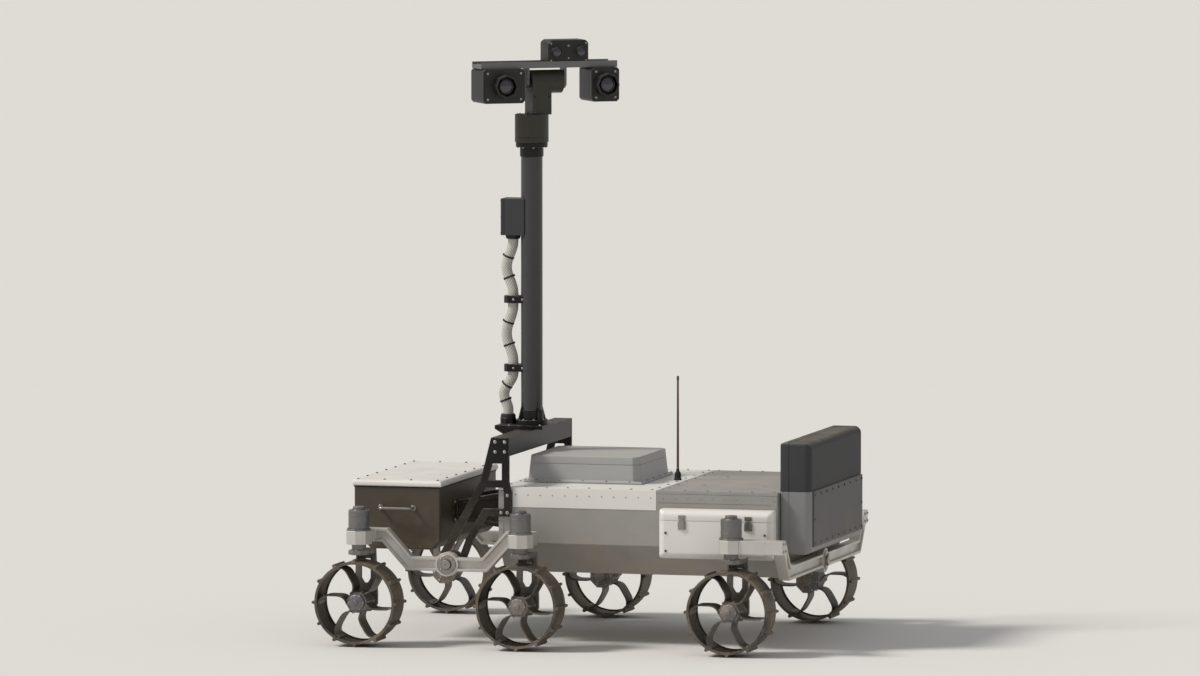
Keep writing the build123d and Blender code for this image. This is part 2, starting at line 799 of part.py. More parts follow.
tilt_right_y = tilt_y - tilt_half_length
with BuildPart() as pan_unit:
    with BuildSketch(Plane.XY.offset(pan_z)):
        Circle(pan_radius)
    extrude(amount=pan_height)
    with BuildSketch(upright(tilt_right_y)):
        with Locations((0, tilt_axis_z)):
            Circle(tilt_radius)
    extrude(amount=-2 * tilt_half_length)
    with BuildSketch(upright(tilt_right_y)):
        with Locations((0, tilt_axis_z)):
            Rectangle(2 * tilt_radius, tilt_lift, align=(Align.CENTER, Align.MAX))
    extrude(amount=-neck_width)
save(pan_unit.part.moved(head_place), "pan_unit")

with BuildPart() as bench:
    with BuildSketch(Plane.XY.offset(bench_z)):
        with Locations((0, tilt_y)):
            Rectangle(2 * bench_half_depth, 2 * bench_half_length)
    extrude(amount=bench_thickness)
    with BuildSketch(Plane.XY.offset(bench_z + bench_thickness)):
        with Locations((0, tilt_y)):
            lip_spacing = 2 * bench_half_depth - bench_lip_thickness
            with GridLocations(lip_spacing, 0, 2, 1):
                Rectangle(bench_lip_thickness, 2 * bench_half_length)
    extrude(amount=bench_lip)
    for sign in (1, -1):
        cheek = upright(tilt_y + sign * (tilt_half_length + cheek_gap))
        with BuildSketch(cheek):
            Polygon(
                (-cheek_half_width, bench_z),
                (-cheek_half_width, tilt_axis_z - 0.4 * cheek_half_width),
                (-0.4 * cheek_half_width, tilt_axis_z - cheek_half_width),
                (0.4 * cheek_half_width, tilt_axis_z - cheek_half_width),
                (cheek_half_width, tilt_axis_z - 0.4 * cheek_half_width),
                (cheek_half_width, bench_z),
                align=None,
            )
        extrude(amount=-sign * cheek_thickness)
        with BuildSketch(cheek):
            with Locations((0, tilt_axis_z)):
                RegularPolygon(tilt_pin_radius, 12)
        extrude(amount=sign * (cheek_gap - running_gap))
save(bench.part.moved(head_place), "camera_bench")

for sign, name in side_names.items():
    camera_y = tilt_y + sign * (bench_half_length - camera_widths[name] / 2)
    with BuildPart() as camera:
        with Locations((camera_shift, camera_y, bench_z - camera_height)):
            Box(camera_depth, camera_widths[name], camera_height, align=on_base)
        chamfer(camera.edges().filter_by(Axis.X), camera_edge)
        with BuildSketch(Plane.YZ.offset(camera_shift + camera_depth / 2)):
            with Locations((camera_y, bench_z - camera_height / 2)):
                RegularPolygon(hood_radius, 8, major_radius=False)
                RegularPolygon(hood_radius - hood_wall, 8, major_radius=False, mode=Mode.SUBTRACT)
        extrude(amount=hood_length)
        with BuildSketch(Plane.YZ.offset(camera_shift + camera_depth / 2)):
            with Locations((camera_y, bench_z - camera_height / 2)):
                RegularPolygon(lens_radius, 16)
        extrude(amount=lens_length)
    save(camera.part.moved(head_place), f"camera_{name}")

top_camera_z = bench_z + bench_thickness
top_camera_y = tilt_y + top_camera_shift
with BuildPart() as top_camera:
    with Locations((0, top_camera_y, top_camera_z)):
        Box(top_camera_depth, top_camera_width, top_camera_height, align=on_base)
    chamfer(top_camera.edges().filter_by(Axis.X).group_by(Axis.Z)[-1], top_camera_edge)
    with BuildSketch(Plane.YZ.offset(top_camera_depth / 2)):
        with Locations((top_camera_y, top_camera_z + top_camera_height / 2)):
            with GridLocations(top_lens_spacing, 0, 2, 1):
                RegularPolygon(top_lens_radius, 12)
    extrude(amount=top_lens_length)
save(top_camera.part.moved(head_place), "navigation_camera")
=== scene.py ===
# %% [markdown]
# # A planetary rover prototype, dressed
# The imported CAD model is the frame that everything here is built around. It comes in with its
# real sizes, in metres, so a new piece is put straight where the CAD says. The box that the CAD
# fills is kept now, to be compared with the finished model's box at the end.

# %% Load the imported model
import json
from math import cos, pi, radians, sin

import bmesh
import bpy
from mathutils import Matrix, Vector


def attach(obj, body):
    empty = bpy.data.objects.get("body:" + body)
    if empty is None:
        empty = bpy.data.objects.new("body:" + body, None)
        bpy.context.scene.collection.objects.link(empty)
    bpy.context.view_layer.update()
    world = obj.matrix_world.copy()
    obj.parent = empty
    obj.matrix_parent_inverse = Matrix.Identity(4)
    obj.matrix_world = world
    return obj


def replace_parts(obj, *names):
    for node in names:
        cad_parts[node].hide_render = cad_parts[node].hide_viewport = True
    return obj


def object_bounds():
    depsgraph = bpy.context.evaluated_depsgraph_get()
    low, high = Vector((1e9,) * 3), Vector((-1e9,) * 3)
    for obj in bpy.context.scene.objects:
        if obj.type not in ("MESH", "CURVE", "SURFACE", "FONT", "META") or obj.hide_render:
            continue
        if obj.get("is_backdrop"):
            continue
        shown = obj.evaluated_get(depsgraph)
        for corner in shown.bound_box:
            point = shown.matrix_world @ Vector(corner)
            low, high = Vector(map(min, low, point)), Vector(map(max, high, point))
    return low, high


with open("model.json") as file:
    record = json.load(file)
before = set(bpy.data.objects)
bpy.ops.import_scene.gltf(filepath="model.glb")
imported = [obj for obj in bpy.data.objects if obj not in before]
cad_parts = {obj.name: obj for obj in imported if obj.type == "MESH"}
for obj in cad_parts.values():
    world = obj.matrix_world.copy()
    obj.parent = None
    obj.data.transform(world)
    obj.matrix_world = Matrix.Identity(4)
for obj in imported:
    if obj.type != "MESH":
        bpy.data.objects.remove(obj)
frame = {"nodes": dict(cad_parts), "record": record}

cad_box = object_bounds()
nodes = frame["nodes"]

# %% [markdown]
# ## The camera
# The photograph was taken from far away and a little above the ground, from behind the rover's
# left shoulder. A long lens from the same direction gives the same flat perspective, where the
# near and far wheels are almost the same size.

# %% Camera, 38 m away
view_azimuth = radians(195)
view_elevation = radians(4.5)
view_distance = 38.0
view_height = 2.2  # metres of the object's plane, from the bottom to the top of the picture
picture_pixels = (1200, 676)

centre = (cad_box[0] + cad_box[1]) / 2
level = cos(view_elevation)
towards = Vector((sin(view_azimuth) * level, -cos(view_azimuth) * level, sin(view_elevation)))
camera = bpy.data.objects.new("camera", bpy.data.cameras.new("camera"))
camera.data.sensor_width = 36
picture_height = camera.data.sensor_width * picture_pixels[1] / picture_pixels[0]
camera.data.lens = picture_height * view_distance / view_height
camera.data.clip_end = 500
camera.location = centre + towards * view_distance
camera.rotation_euler = towards.to_track_quat("Z", "Y").to_euler()
bpy.context.scene.collection.objects.link(camera)
bpy.context.scene.camera = camera
print("lens", round(camera.data.lens), "mm")

# %% [markdown]
# ## Colours and nodes
# Colours are read off as sRGB hex codes, and Cycles works in linear light, so one function turns
# the first into the second. Another adds a shader node. Its sockets get plain numbers, the sockets
# of other nodes, or a whole node, which stands for its first output. Settings come by name.

# %% Two small helpers for materials


def colour(code):
    """The linear colour, with alpha, of an sRGB hex code."""
    parts = [int(code[i : i + 2], 16) / 255 for i in (1, 3, 5)]
    return [v / 12.92 if v <= 0.04045 else ((v + 0.055) / 1.055) ** 2.4 for v in parts] + [1.0]


def add(tree, kind, sockets=None, **settings):
    """Adds a shader node, sets it and fills or links its sockets, by name or by number."""
    node = tree.nodes.new("ShaderNode" + kind)
    for key, value in settings.items():
        setattr(node, key, value)
    for key, value in (sockets or {}).items():
        if isinstance(value, bpy.types.Node):
            value = next(output for output in value.outputs if output.enabled)
        if isinstance(value, bpy.types.NodeSocket):
            tree.links.new(value, node.inputs[key])
        else:
            node.inputs[key].default_value = value
    return node


print("middle grey, linear:", round(colour("#808080")[0], 3))

# %% [markdown]
# ## Floor and light
# The floor is pale and plain, and large enough to fill the picture. A soft sun stands high to the
# left, as in the photograph, and a pale sky fills the shadows. Together they light a surface at
# about strength one, at which a colour renders as it is written.

# %% Floor, sun and sky
sky_strength, sun_strength = 0.52, 2.5
towards_sun = Vector((0.78, 0.36, 0.92))
floor_radius = 160

world = bpy.data.worlds.new("studio")
bpy.context.scene.world = world
world.use_nodes = True
sky = world.node_tree.nodes["Background"].inputs
sky["Color"].default_value = colour("#f1f1f2")
sky["Strength"].default_value = sky_strength

sun = bpy.data.objects.new("sun", bpy.data.lights.new("sun", "SUN"))
sun.data.energy = sun_strength
sun.data.angle = radians(14)
sun.data.color = (1.0, 0.965, 0.92)
sun.rotation_euler = towards_sun.to_track_quat("Z", "Y").to_euler()
bpy.context.scene.collection.objects.link(sun)

shape = bmesh.new()
bmesh.ops.create_circle(shape, cap_ends=True, segments=96, radius=floor_radius)
floor = bpy.data.objects.new("floor", bpy.data.meshes.new("floor"))
shape.to_mesh(floor.data)
shape.free()
bpy.context.scene.collection.objects.link(floor)
floor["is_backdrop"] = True
floor_paint = bpy.data.materials.new("matt_floor_paint")
floor_paint.use_nodes = True
floor_shader = floor_paint.node_tree.nodes["Principled BSDF"].inputs
floor_shader["Base Color"].default_value = colour("#dcdad6")
floor_shader["Roughness"].default_value = 0.9
floor.data.materials.append(floor_paint)
bpy.context.scene.view_settings.view_transform = "Standard"
print("sky", sky_strength, "sun", sun_strength)

# %% [markdown]
# ## What every finish shares
# A test rover that has driven in a desert is worn along its edges and dusty: most on the wheels
# and low down, some on every face that looks up. One function lays this over each finish. The
# Bevel node tells where an edge is near, as its rounded normal leaves the flat one there. The
# dust comes from the height, the way the face looks and two sizes of noise. Most tones also
# drift between two colours in soft blotches, so that no face is one flat colour.

# %% Wear and dust over a finish
dust_tone, dust_roughness = colour("#b7a48b"), 0.95
edge_reach = 0.0016  # metres from an edge
scuffs_per_metre, drifts_per_metre = 90.0, 9.0  # worn patches about 11 mm across, dusty ones 110 mm
finishes = {}


def start(name):
    """A new finish with an empty tree, and the object's own coordinates in it."""
    finishes[name] = bpy.data.materials.new(name)
    finishes[name].use_nodes = True
    tree = finishes[name].node_tree
    tree.nodes.clear()
    return tree, add(tree, "TexCoord").outputs["Object"]


def blotched(tree, coords, per_metre, detail, first, second):
    """A tone that drifts between two colours, with so many blotches to a metre."""
    blotches = add(tree, "TexNoise", {"Vector": coords, "Scale": per_metre, "Detail": detail})
    return add(tree, "Mix", {0: blotches, 6: colour(first), 7: colour(second)}, data_type="RGBA")


def surface(tree, base, roughness, relief, relief_mm, wear, low_dust, top_dust, even_dust=0.0,
            metallic=0.0, worn="#b5b3ae", **shader):
    """Ends a finish: base and relief are nodes, roughness is a node or a value."""
    coords = add(tree, "TexCoord").outputs["Object"]
    normal = add(tree, "NewGeometry").outputs["Normal"]
    rounded = add(tree, "Bevel", {"Radius": edge_reach}, samples=3)
    same = add(tree, "VectorMath", {0: rounded, 1: normal}, operation="DOT_PRODUCT")
    patchy = add(tree, "TexNoise", {"Vector": coords, "Scale": scuffs_per_metre, "Detail": 3.0})
    drifts = add(tree, "TexNoise", {"Vector": coords, "Scale": drifts_per_metre, "Detail": 6.0,
                                    "Roughness": 0.62})
    height = add(tree, "SeparateXYZ", {0: coords}).outputs["Z"]
    upward = add(tree, "SeparateXYZ", {0: normal}).outputs["Z"]
    # Each measure, where its effect starts and ends, and what it rises to
    ranges = [(same, 0.99, 0.86, 1.0), (patchy, 0.42, 0.6, wear), (height, 0.55, 0.05, low_dust),
              (upward, 0.5, 1.0, top_dust), (drifts, 0.32, 0.68, 1.0)]
    near_edge, scuffed, low, top, drifted = [
        add(tree, "MapRange", {"Value": measure, "From Min": first, "From Max": last, "To Max": most})
        for measure, first, last, most in ranges
    ]
    low.interpolation_type = "SMOOTHSTEP"
    bare = add(tree, "Math", {0: near_edge, 1: scuffed}, operation="MULTIPLY")
    both = add(tree, "Math", {0: low, 1: top}, operation="ADD")
    every = add(tree, "Math", {0: both, 1: even_dust}, operation="ADD")
    dust = add(tree, "Math", {0: every, 1: drifted}, operation="MULTIPLY", use_clamp=True)

    worn_tone = add(tree, "Mix", {0: bare, 6: base, 7: colour(worn)}, data_type="RGBA")
    tone = add(tree, "Mix", {0: dust, 6: worn_tone, 7: dust_tone}, data_type="RGBA")
    rough = add(tree, "Mix", {0: dust, 2: roughness, 3: dust_roughness}, data_type="FLOAT")
    bump = add(tree, "Bump", {"Height": relief, "Distance": relief_mm / 1000, "Normal": rounded})
    sockets = {"Base Color": tone, "Roughness": rough, "Normal": bump, **shader}
    if metallic:
        shine = add(tree, "Math", {0: 1.0, 1: dust}, operation="SUBTRACT")
        sockets["Metallic"] = add(tree, "Math", {0: shine, 1: metallic}, operation="MULTIPLY")
    add(tree, "OutputMaterial", {"Surface": add(tree, "BsdfPrincipled", sockets)})


print("wear reaches", 1000 * edge_reach, "mm from an edge")

# %% [markdown]
# ## Powder coat
# The boxes and the deck are powder coated. Powder melts into a skin with a fine orange peel,
# about 2 mm from dimple to dimple, with a soft gloss. The tone shifts a little over each panel,
# where it was sprayed thicker, rubbed or bleached by the sun.

# %% Powder coats: name, colour, second tone, roughness, low dust, top dust
peel_mm, peel_depth_mm = 2.0, 0.12
coat_blotches = 5.0  # to a metre, so each is about 200 mm across
coats = [
    ("powder_coat_white", "#e9e8e4", "#dcd9d2", 0.42, 0.25, 0.3),
    ("powder_coat_light_grey", "#a8a9a9", "#9c9c9a", 0.45, 0.25, 0.35),
    ("powder_coat_mid_grey", "#8b8b8c", "#7d7d7e", 0.45, 0.3, 0.3),
    # The next grey is painted shade: it darkens the rear panel, on the back face out of the sun
    ("powder_coat_grey_painted_shade", "#5c5b5b", "#515050", 0.6, 0.3, 0.3),
    ("powder_coat_olive_brown", "#4a4235", "#3d372c", 0.5, 0.35, 0.4),
    ("powder_coat_dark_olive", "#302f24", "#26251c", 0.48, 0.15, 0.15),
    ("powder_coat_black", "#161616", "#101010", 0.46, 0.1, 0.12),
]
for name, first, second, roughness, *dusts in coats:
    tree, coords = start(name)
    peel = add(tree, "TexNoise", {"Vector": coords, "Scale": 1000 / peel_mm, "Detail": 1.0})
    tone = blotched(tree, coords, coat_blotches, 4.0, first, second)
    surface(tree, tone, roughness, peel, peel_depth_mm, 0.45, *dusts)
print("powder coats:", len(coats))

# %% [markdown]
# ## Aluminium, machined, anodised and rolled
# Machined aluminium shows the cutter's fine lines, and rolled sheet the lines of the rollers, so
# both get noise that is stretched along the rover. Anodising keeps the metal's sheen under a dyed
# skin, and wears to bright metal at the edges. The wheels are blasted, dull and dustier all over,
# and their spring leaves a little glossier. Turned steel and zinc plate are the brightest. Real
# lines are a few tenths of a millimetre apart, too fine to show, so they are drawn coarser.

# %% Metals: name, colour, second tone, metallic, roughness, line mm, wear, low, top and even dust
line_depth_mm = 0.04
metal_blotches = 14.0  # to a metre, so each is about 70 mm across
metals = [
    ("machined_aluminium", "#d6d5d1", "#bfbeba", 0.65, 0.38, 0.8, 0.0, 0.45, 0.25, 0.05),
    ("rolled_aluminium_sheet", "#a9a8a5", "#979693", 0.55, 0.5, 1.6, 0.3, 0.6, 0.3, 0.1),
    ("black_anodised_aluminium", "#131314", "#0d0d0e", 0.5, 0.42, 1.2, 0.8, 0.4, 0.2, 0.03),
    ("grey_anodised_aluminium", "#77787a", "#6a6b6d", 0.7, 0.42, 1.0, 0.6, 0.5, 0.3, 0.06),
    ("blasted_wheel_metal", "#4b4945", "#3b3936", 0.6, 0.55, 1.4, 0.9, 0.25, 0.15, 0.17),
    ("spring_steel_leaf", "#4b4945", "#3d3b38", 0.7, 0.42, 0.9, 0.7, 0.2, 0.15, 0.15),
    ("turned_steel", "#a3a19c", "#8b8985", 0.95, 0.3, 0.5, 0.2, 0.3, 0.2, 0.02),
    ("zinc_plated_screw", "#b9b7b0", "#9d9b95", 0.95, 0.32, 0.5, 0.0, 0.3, 0.15, 0.05),
    ("black_oxide_screw", "#2b2b2c", "#1f1f20", 0.6, 0.4, 0.5, 0.5, 0.3, 0.15, 0.05),
]
for name, first, second, metallic, roughness, line_mm, wear, *dusts in metals:
    tree, coords = start(name)
    drawn_out = add(tree, "Mapping", {"Vector": coords, "Scale": (0.06, 1.0, 1.0)})
    lines = add(tree, "TexNoise", {"Vector": drawn_out, "Scale": 1000 / line_mm, "Detail": 2.0})
    glints = add(tree, "MapRange", {"Value": lines, "To Min": roughness - 0.08, "To Max": roughness + 0.1})
    tone = blotched(tree, coords, metal_blotches, 5.0, first, second)
    surface(tree, tone, glints, lines, line_depth_mm, wear, *dusts, metallic=metallic, worn="#cfcdc8")
print("metals:", len(metals))

# %% [markdown]
# ## Moulded plastic, rubber and glass
# The rear case is moulded with a leather-like grain, whose cells are about 1.5 mm across: Voronoi
# cells give that. Gaskets and cable glands are matt rubber. A lens is dark coated glass, and from
# outside only its gloss and a deep tint show, so a glossy dark skin stands for it.

# %% Plastics: name, colour, second tone, roughness, low dust, top dust; and coated glass
grain_mm, grain_depth_mm = 1.5, 0.15
plastic_blotches, coating_blotches = 7.0, 30.0  # to a metre, so about 140 and 33 mm across
plastics = [
    ("moulded_charcoal_plastic", "#39393b", "#2f2f31", 0.7, 0.3, 0.3),
    ("moulded_black_rubber", "#1c1c1c", "#171717", 0.75, 0.4, 0.3),
    ("glass_fibre_rod", "#6b5446", "#5a463a", 0.4, 0.1, 0.1),
]
for name, first, second, roughness, *dusts in plastics:
    tree, coords = start(name)
    cells = add(tree, "TexVoronoi", {"Vector": coords, "Scale": 1000 / grain_mm})
    tone = blotched(tree, coords, plastic_blotches, 4.0, first, second)
    surface(tree, tone, roughness, cells, grain_depth_mm, 0.25, *dusts, worn="#6d6b68")

tree, coords = start("coated_lens_glass")
coating = blotched(tree, coords, coating_blotches, 2.0, "#0b1020", "#1b1230")
coated = add(tree, "BsdfPrincipled", {"Base Color": coating, "Roughness": 0.04, "IOR": 1.52,
                                      "Coat Weight": 1.0, "Coat Roughness": 0.02})
add(tree, "OutputMaterial", {"Surface": coated})
print("plastics:", len(plastics), "and glass")

# %% [markdown]
# ## Carbon tube and braided sleeve
# The mast is a wound carbon tube. Its 2/2 twill is about 4 mm to a bundle, drawn here at 8 mm so
# that it still shows. Round a tube the pattern has to follow the angle, so the angle about the
# mast times its radius takes the place of a flat coordinate. The cable bundle wears a light
# polyester braid, whose crossing strands are two sets of slanting bands, about 3 mm wide on a real
# sleeve and drawn at 9 mm for the same reason. The bundle bows in and out, so its mesh carries the
# x of its own axis as an attribute.

# %% Twill and braid round an upright axis
mast_x, mast_radius, bundle_radius = 0.23, 0.035, 0.018
tow_mm, strand_mm = 8.0, 9.0


def around(tree, coords, axis_x, radius):
    """The way round an upright axis, whose x is a number or a socket, and the way up it."""
    place = add(tree, "SeparateXYZ", {0: coords}).outputs
    across = add(tree, "Math", {0: place["X"], 1: axis_x}, operation="SUBTRACT")
    angle = add(tree, "Math", {0: place["Y"], 1: across}, operation="ARCTAN2")
    return add(tree, "Math", {0: angle, 1: radius}, operation="MULTIPLY"), place["Z"]


def bands(tree, round_way, up_way, sign, pitch_mm):
    """A wave, from 0 to 1, along a slanting line of the two ways."""
    slanted = add(tree, "Math", {0: up_way, 1: sign, 2: round_way}, operation="MULTIPLY_ADD")
    turns = add(tree, "Math", {0: slanted, 1: 2 * pi * 1000 / pitch_mm}, operation="MULTIPLY")
    wave = add(tree, "Math", {0: turns}, operation="SINE")
    return add(tree, "MapRange", {"Value": wave, "From Min": -1.0})


tree, coords = start("twill_carbon_tube")
twill = bands(tree, *around(tree, coords, mast_x, mast_radius), 1.0, tow_mm)
tows = add(tree, "MapRange", {"Value": twill, "From Min": 0.35, "From Max": 0.65})
tone = add(tree, "Mix", {0: tows, 6: colour("#2b2a2c"), 7: colour("#434244")}, data_type="RGBA")
surface(tree, tone, 0.34, twill, 0.06, 0.1, 0.3, 0.2)

tree, coords = start("braided_polyester_sleeve")
bundle_axis = add(tree, "Attribute", attribute_name="bundle_axis_x").outputs["Fac"]
ways = around(tree, coords, bundle_axis, bundle_radius)
over, under = [bands(tree, *ways, sign, strand_mm) for sign in (1.0, -1.0)]
braid = add(tree, "Math", {0: over, 1: under}, operation="MAXIMUM")
strands = add(tree, "MapRange", {"Value": braid, "From Min": 0.35, "From Max": 0.95})
tone = add(tree, "Mix", {0: strands, 6: colour("#8f8c85"), 7: colour("#cfccc4")}, data_type="RGBA")
surface(tree, tone, 0.8, braid, 0.8, 0.0, 0.3, 0.2, **{"Sheen Weight": 0.3})
print("finishes:", len(finishes))

# %% [markdown]
# ## From slots to finishes
# The record gives every CAD node a material slot. Each slot gets one of the finishes above, and
# each new piece names its slot too, and takes that slot's finish unless it is given one of its own.

# %% Slots: name and finish
slot_finish = {
    "body_panel": "rolled_aluminium_sheet",
    "white_paint": "powder_coat_white",
    "grey_paint": "powder_coat_light_grey",
    "charcoal_case": "moulded_charcoal_plastic",
    "black_anodised": "black_anodised_aluminium",
    "olive_case": "powder_coat_olive_brown",
    "bare_aluminium": "machined_aluminium",
    "steel": "turned_steel",
    "motor_case": "grey_anodised_aluminium",
    "mast_black": "twill_carbon_tube",
    "harness_sleeve": "braided_polyester_sleeve",
    "antenna_rod": "glass_fibre_rod",
    "head_olive": "powder_coat_dark_olive",
    "bench_grey": "grey_anodised_aluminium",
    "camera_black": "powder_coat_black",
    "mid_grey_paint": "powder_coat_mid_grey",
    "wheel_metal": "blasted_wheel_metal",
}
node_slot = {part["node"]: part["material_slot"] for part in frame["record"]["subparts"]}
node_body = {n: body for body, held in frame["record"]["behaviour"]["bodies"].items() for n in held}
for node, thing in nodes.items():
    thing.data.materials.clear()
    thing.data.materials.append(finishes[slot_finish[node_slot[node]]])
print("nodes with a finish:", len(node_slot))

# %% [markdown]
# ## Places, and how a shape becomes a piece
# A bmesh is a mesh in the making. Each shape is built where it belongs, in the frame of a place,
# so that every piece's object stays at the origin. A shape is then settled as a piece: it rides
# on a body, gets its finish, and is smooth where its faces meet at a small angle. Weighted
# normals let the large faces win over the thin bevels, so that a flat face stays flat to the eye.

# %% Places and settle
up, forward = Vector((0, 0, 1)), Vector((1, 0, 0))
smooth_below = 35  # degrees between two faces


def at(x, y, z):
    """A place at a point."""
    return Matrix.Translation((x, y, z))


def spun(degrees, axis="Z"):
    """A turn about an axis through the origin."""
    return Matrix.Rotation(radians(degrees), 4, axis)


def facing(point, axis):
    """A place at a point, with its z axis along a direction."""
    return Matrix.Translation(point) @ Vector(axis).to_track_quat("Z", "Y").to_matrix().to_4x4()


def settle(shape, name, slot, finish=None, body="chassis"):
    """Makes a bmesh a piece on a body."""
    mesh = bpy.data.meshes.new(name)
    shape.to_mesh(mesh)
    shape.free()
    mesh.materials.append(finishes[finish or slot_finish[slot]])
    mesh.shade_smooth()
    mesh.set_sharp_from_angle(angle=radians(smooth_below))
    thing = bpy.data.objects.new(name, mesh)
    bpy.context.scene.collection.objects.link(thing)
    thing.modifiers.new("weighted_normals", "WEIGHTED_NORMAL").keep_sharp = True
    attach(thing, body)
    return thing


print("smooth below", smooth_below, "degrees")

# %% [markdown]
# ## Blocks and turned parts
# Most of the rover is blocks with rounded edges and parts that come off a lathe. A spin of a
# profile can end inside out, so its faces are turned outward by a test: seen from the middle of
# the shape, more of their area has to look away than towards it.

# %% Block and turn


def edges_of(points):
    """The edges that meet at some points, in a fixed order."""
    return list(dict.fromkeys(e for v in points for e in v.link_edges))


def soften(shape, points, size):
    """Rounds the edges that meet at some points."""
    bmesh.ops.bevel(shape, geom=edges_of(points), offset=size, segments=2, affect="EDGES", profile=0.5,
                    material=-1)


def block(shape, low, high, edge, place=Matrix()):
    """A box between two corners in the frame of a place, its edges rounded unless edge is 0."""
    low, high = Vector(low), Vector(high)
    scaled = place @ Matrix.Translation((low + high) / 2) @ Matrix.Diagonal((*(high - low), 1))
    corners = bmesh.ops.create_cube(shape, size=1, matrix=scaled)["verts"]
    if edge:
        soften(shape, corners, edge)
    return corners


def face_out(shape, before):
    """Turns the faces of what was made since outward, and gives its points."""
    made = [v for v in shape.verts if v not in before]
    faces = list({f for v in made for f in v.link_faces})
    for f in faces:
        f.normal_update()
    bmesh.ops.recalc_face_normals(shape, faces=faces)
    middle = sum((v.co for v in made), Vector()) / len(made)
    if sum((f.calc_center_median() - middle).dot(f.normal) * f.calc_area() for f in faces) < 0:
        bmesh.ops.reverse_faces(shape, faces=faces)
    return made


def turn(shape, profile, place, steps=48, closed=False):
    """Turns (radius, height) points about the z axis of a place, and closes what is open to the axis."""
    before = set(shape.verts)
    if not closed and profile[-1][0] > 0:
        profile = profile + [(0, profile[-1][1])]
    verts = [shape.verts.new((r, 0, h)) for r, h in profile]
    ends = zip(verts, verts[1:] + ([verts[0]] if closed else []))
    edges = [shape.edges.new(pair) for pair in ends]
    bmesh.ops.spin(shape, geom=verts + edges, cent=(0, 0, 0), axis=up, angle=2 * pi,
                   steps=steps, use_merge=True)
    bmesh.ops.remove_doubles(shape, verts=[v for v in shape.verts if v not in before], dist=1e-6)
    bmesh.ops.transform(shape, matrix=place, verts=face_out(shape, before))


# %% [markdown]
# ## Plates, bars and screws
# A plate is one flat face with corners where the drawing has them, made solid and softened. A
# bent bar is a row of rings, bridged and closed. A screw is a head on a washer, both low cones,
# as it is a few pixels at most. Rows and rings of points then set a whole row in one line.

# %% Slab, tube and screws
washer_height = 0.0012


def slab(shape, outline, thickness, place):
    """A flat piece with broken edges, cut to (x, y) points and as thick along z either way."""
    before = set(shape.verts)
    corners = [shape.verts.new((x, y, thickness / 2)) for x, y in outline]
    face = bmesh.ops.contextual_create(shape, geom=corners)["faces"]
    bmesh.ops.recalc_face_normals(shape, faces=face)
    if face[0].normal.z < 0:
        bmesh.ops.reverse_faces(shape, faces=face)
    bmesh.ops.solidify(shape, geom=face, thickness=thickness)
    made = face_out(shape, before)
    bmesh.ops.transform(shape, matrix=place, verts=made)
    soften(shape, made, 0.0008)


def tube(shape, points, radius, across, facets):
    """A closed round bar through points of one plane, and the direction across that plane."""
    points, across = [Vector(p) for p in points], Vector(across)
    rings, before = [], set(shape.verts)
    for i, point in enumerate(points):
        ahead = (points[min(i + 1, len(points) - 1)] - points[max(i - 1, 0)]).normalized()
        upright = Matrix((across, ahead.cross(across), ahead)).transposed().to_4x4()
        made = bmesh.ops.create_circle(shape, segments=facets, radius=radius,
                                       matrix=Matrix.Translation(point) @ upright)["verts"]
        rings.append(edges_of(made))
    for below, above in zip(rings, rings[1:]):
        bmesh.ops.bridge_loops(shape, edges=below + above)
    for ring in (rings[0], rings[-1]):
        bmesh.ops.contextual_create(shape, geom=ring)
    face_out(shape, before)


def cone(shape, place, segments, low_radius, top_radius, depth, middle):
    """A closed low cone, its middle at a height over a place."""
    bmesh.ops.create_cone(shape, cap_ends=True, segments=segments, radius1=low_radius, radius2=top_radius,
                          depth=depth, matrix=place @ at(0, 0, middle))


def screws(shape, spots, axis, radius, height, place=Matrix()):
    """Screw heads of a radius and a height, each on a washer, at spots in the frame of a place."""
    for spot in spots:
        here = place @ facing(spot, axis)
        cone(shape, here, 12, 1.7 * radius, 1.6 * radius, washer_height, washer_height / 2)
        cone(shape, here, 6, radius, 0.92 * radius, height, washer_height - 0.0002 + height / 2)


def between(first, last, count):
    """Evenly spaced points from one to another, both included."""
    first, last = Vector(first), Vector(last)
    return [first.lerp(last, i / (count - 1)) for i in range(count)]


def ring_of(radius, count, height=0.0, turn_by=0.0):
    """Evenly spaced points on a circle, turned by some degrees."""
    angles = [radians(turn_by) + 2 * pi * i / count for i in range(count)]
    return [Vector((radius * cos(a), radius * sin(a), height)) for a in angles]


# %% [markdown]
# ## Rounded edges for the CAD nodes
# A real part has no knife edges: its corners are broken by a millimetre or so, and that is what
# catches the light. A copy of each rigid node is merged, its flat triangles are dissolved into
# whole faces, and its edges are bevelled. The copy then stands for the node. A box with a lid
# also has a seam. Cutting one with a boolean would work, but four cuts by a plane, with the two
# in the middle drawn in, leave a cleaner groove. The rear case is a charcoal shell on a grey one,
# so its copy is parted level in two, and each half is closed and gets its own finish.

# %% Which nodes get which edge, seam and finish
own_shapes = ["mast_harness", "whip_antenna"] + [n for n in nodes if n.startswith("wheel_")]
head = at(mast_x, 0, 0) @ spun(125)
head_forward = head.to_3x3() @ forward
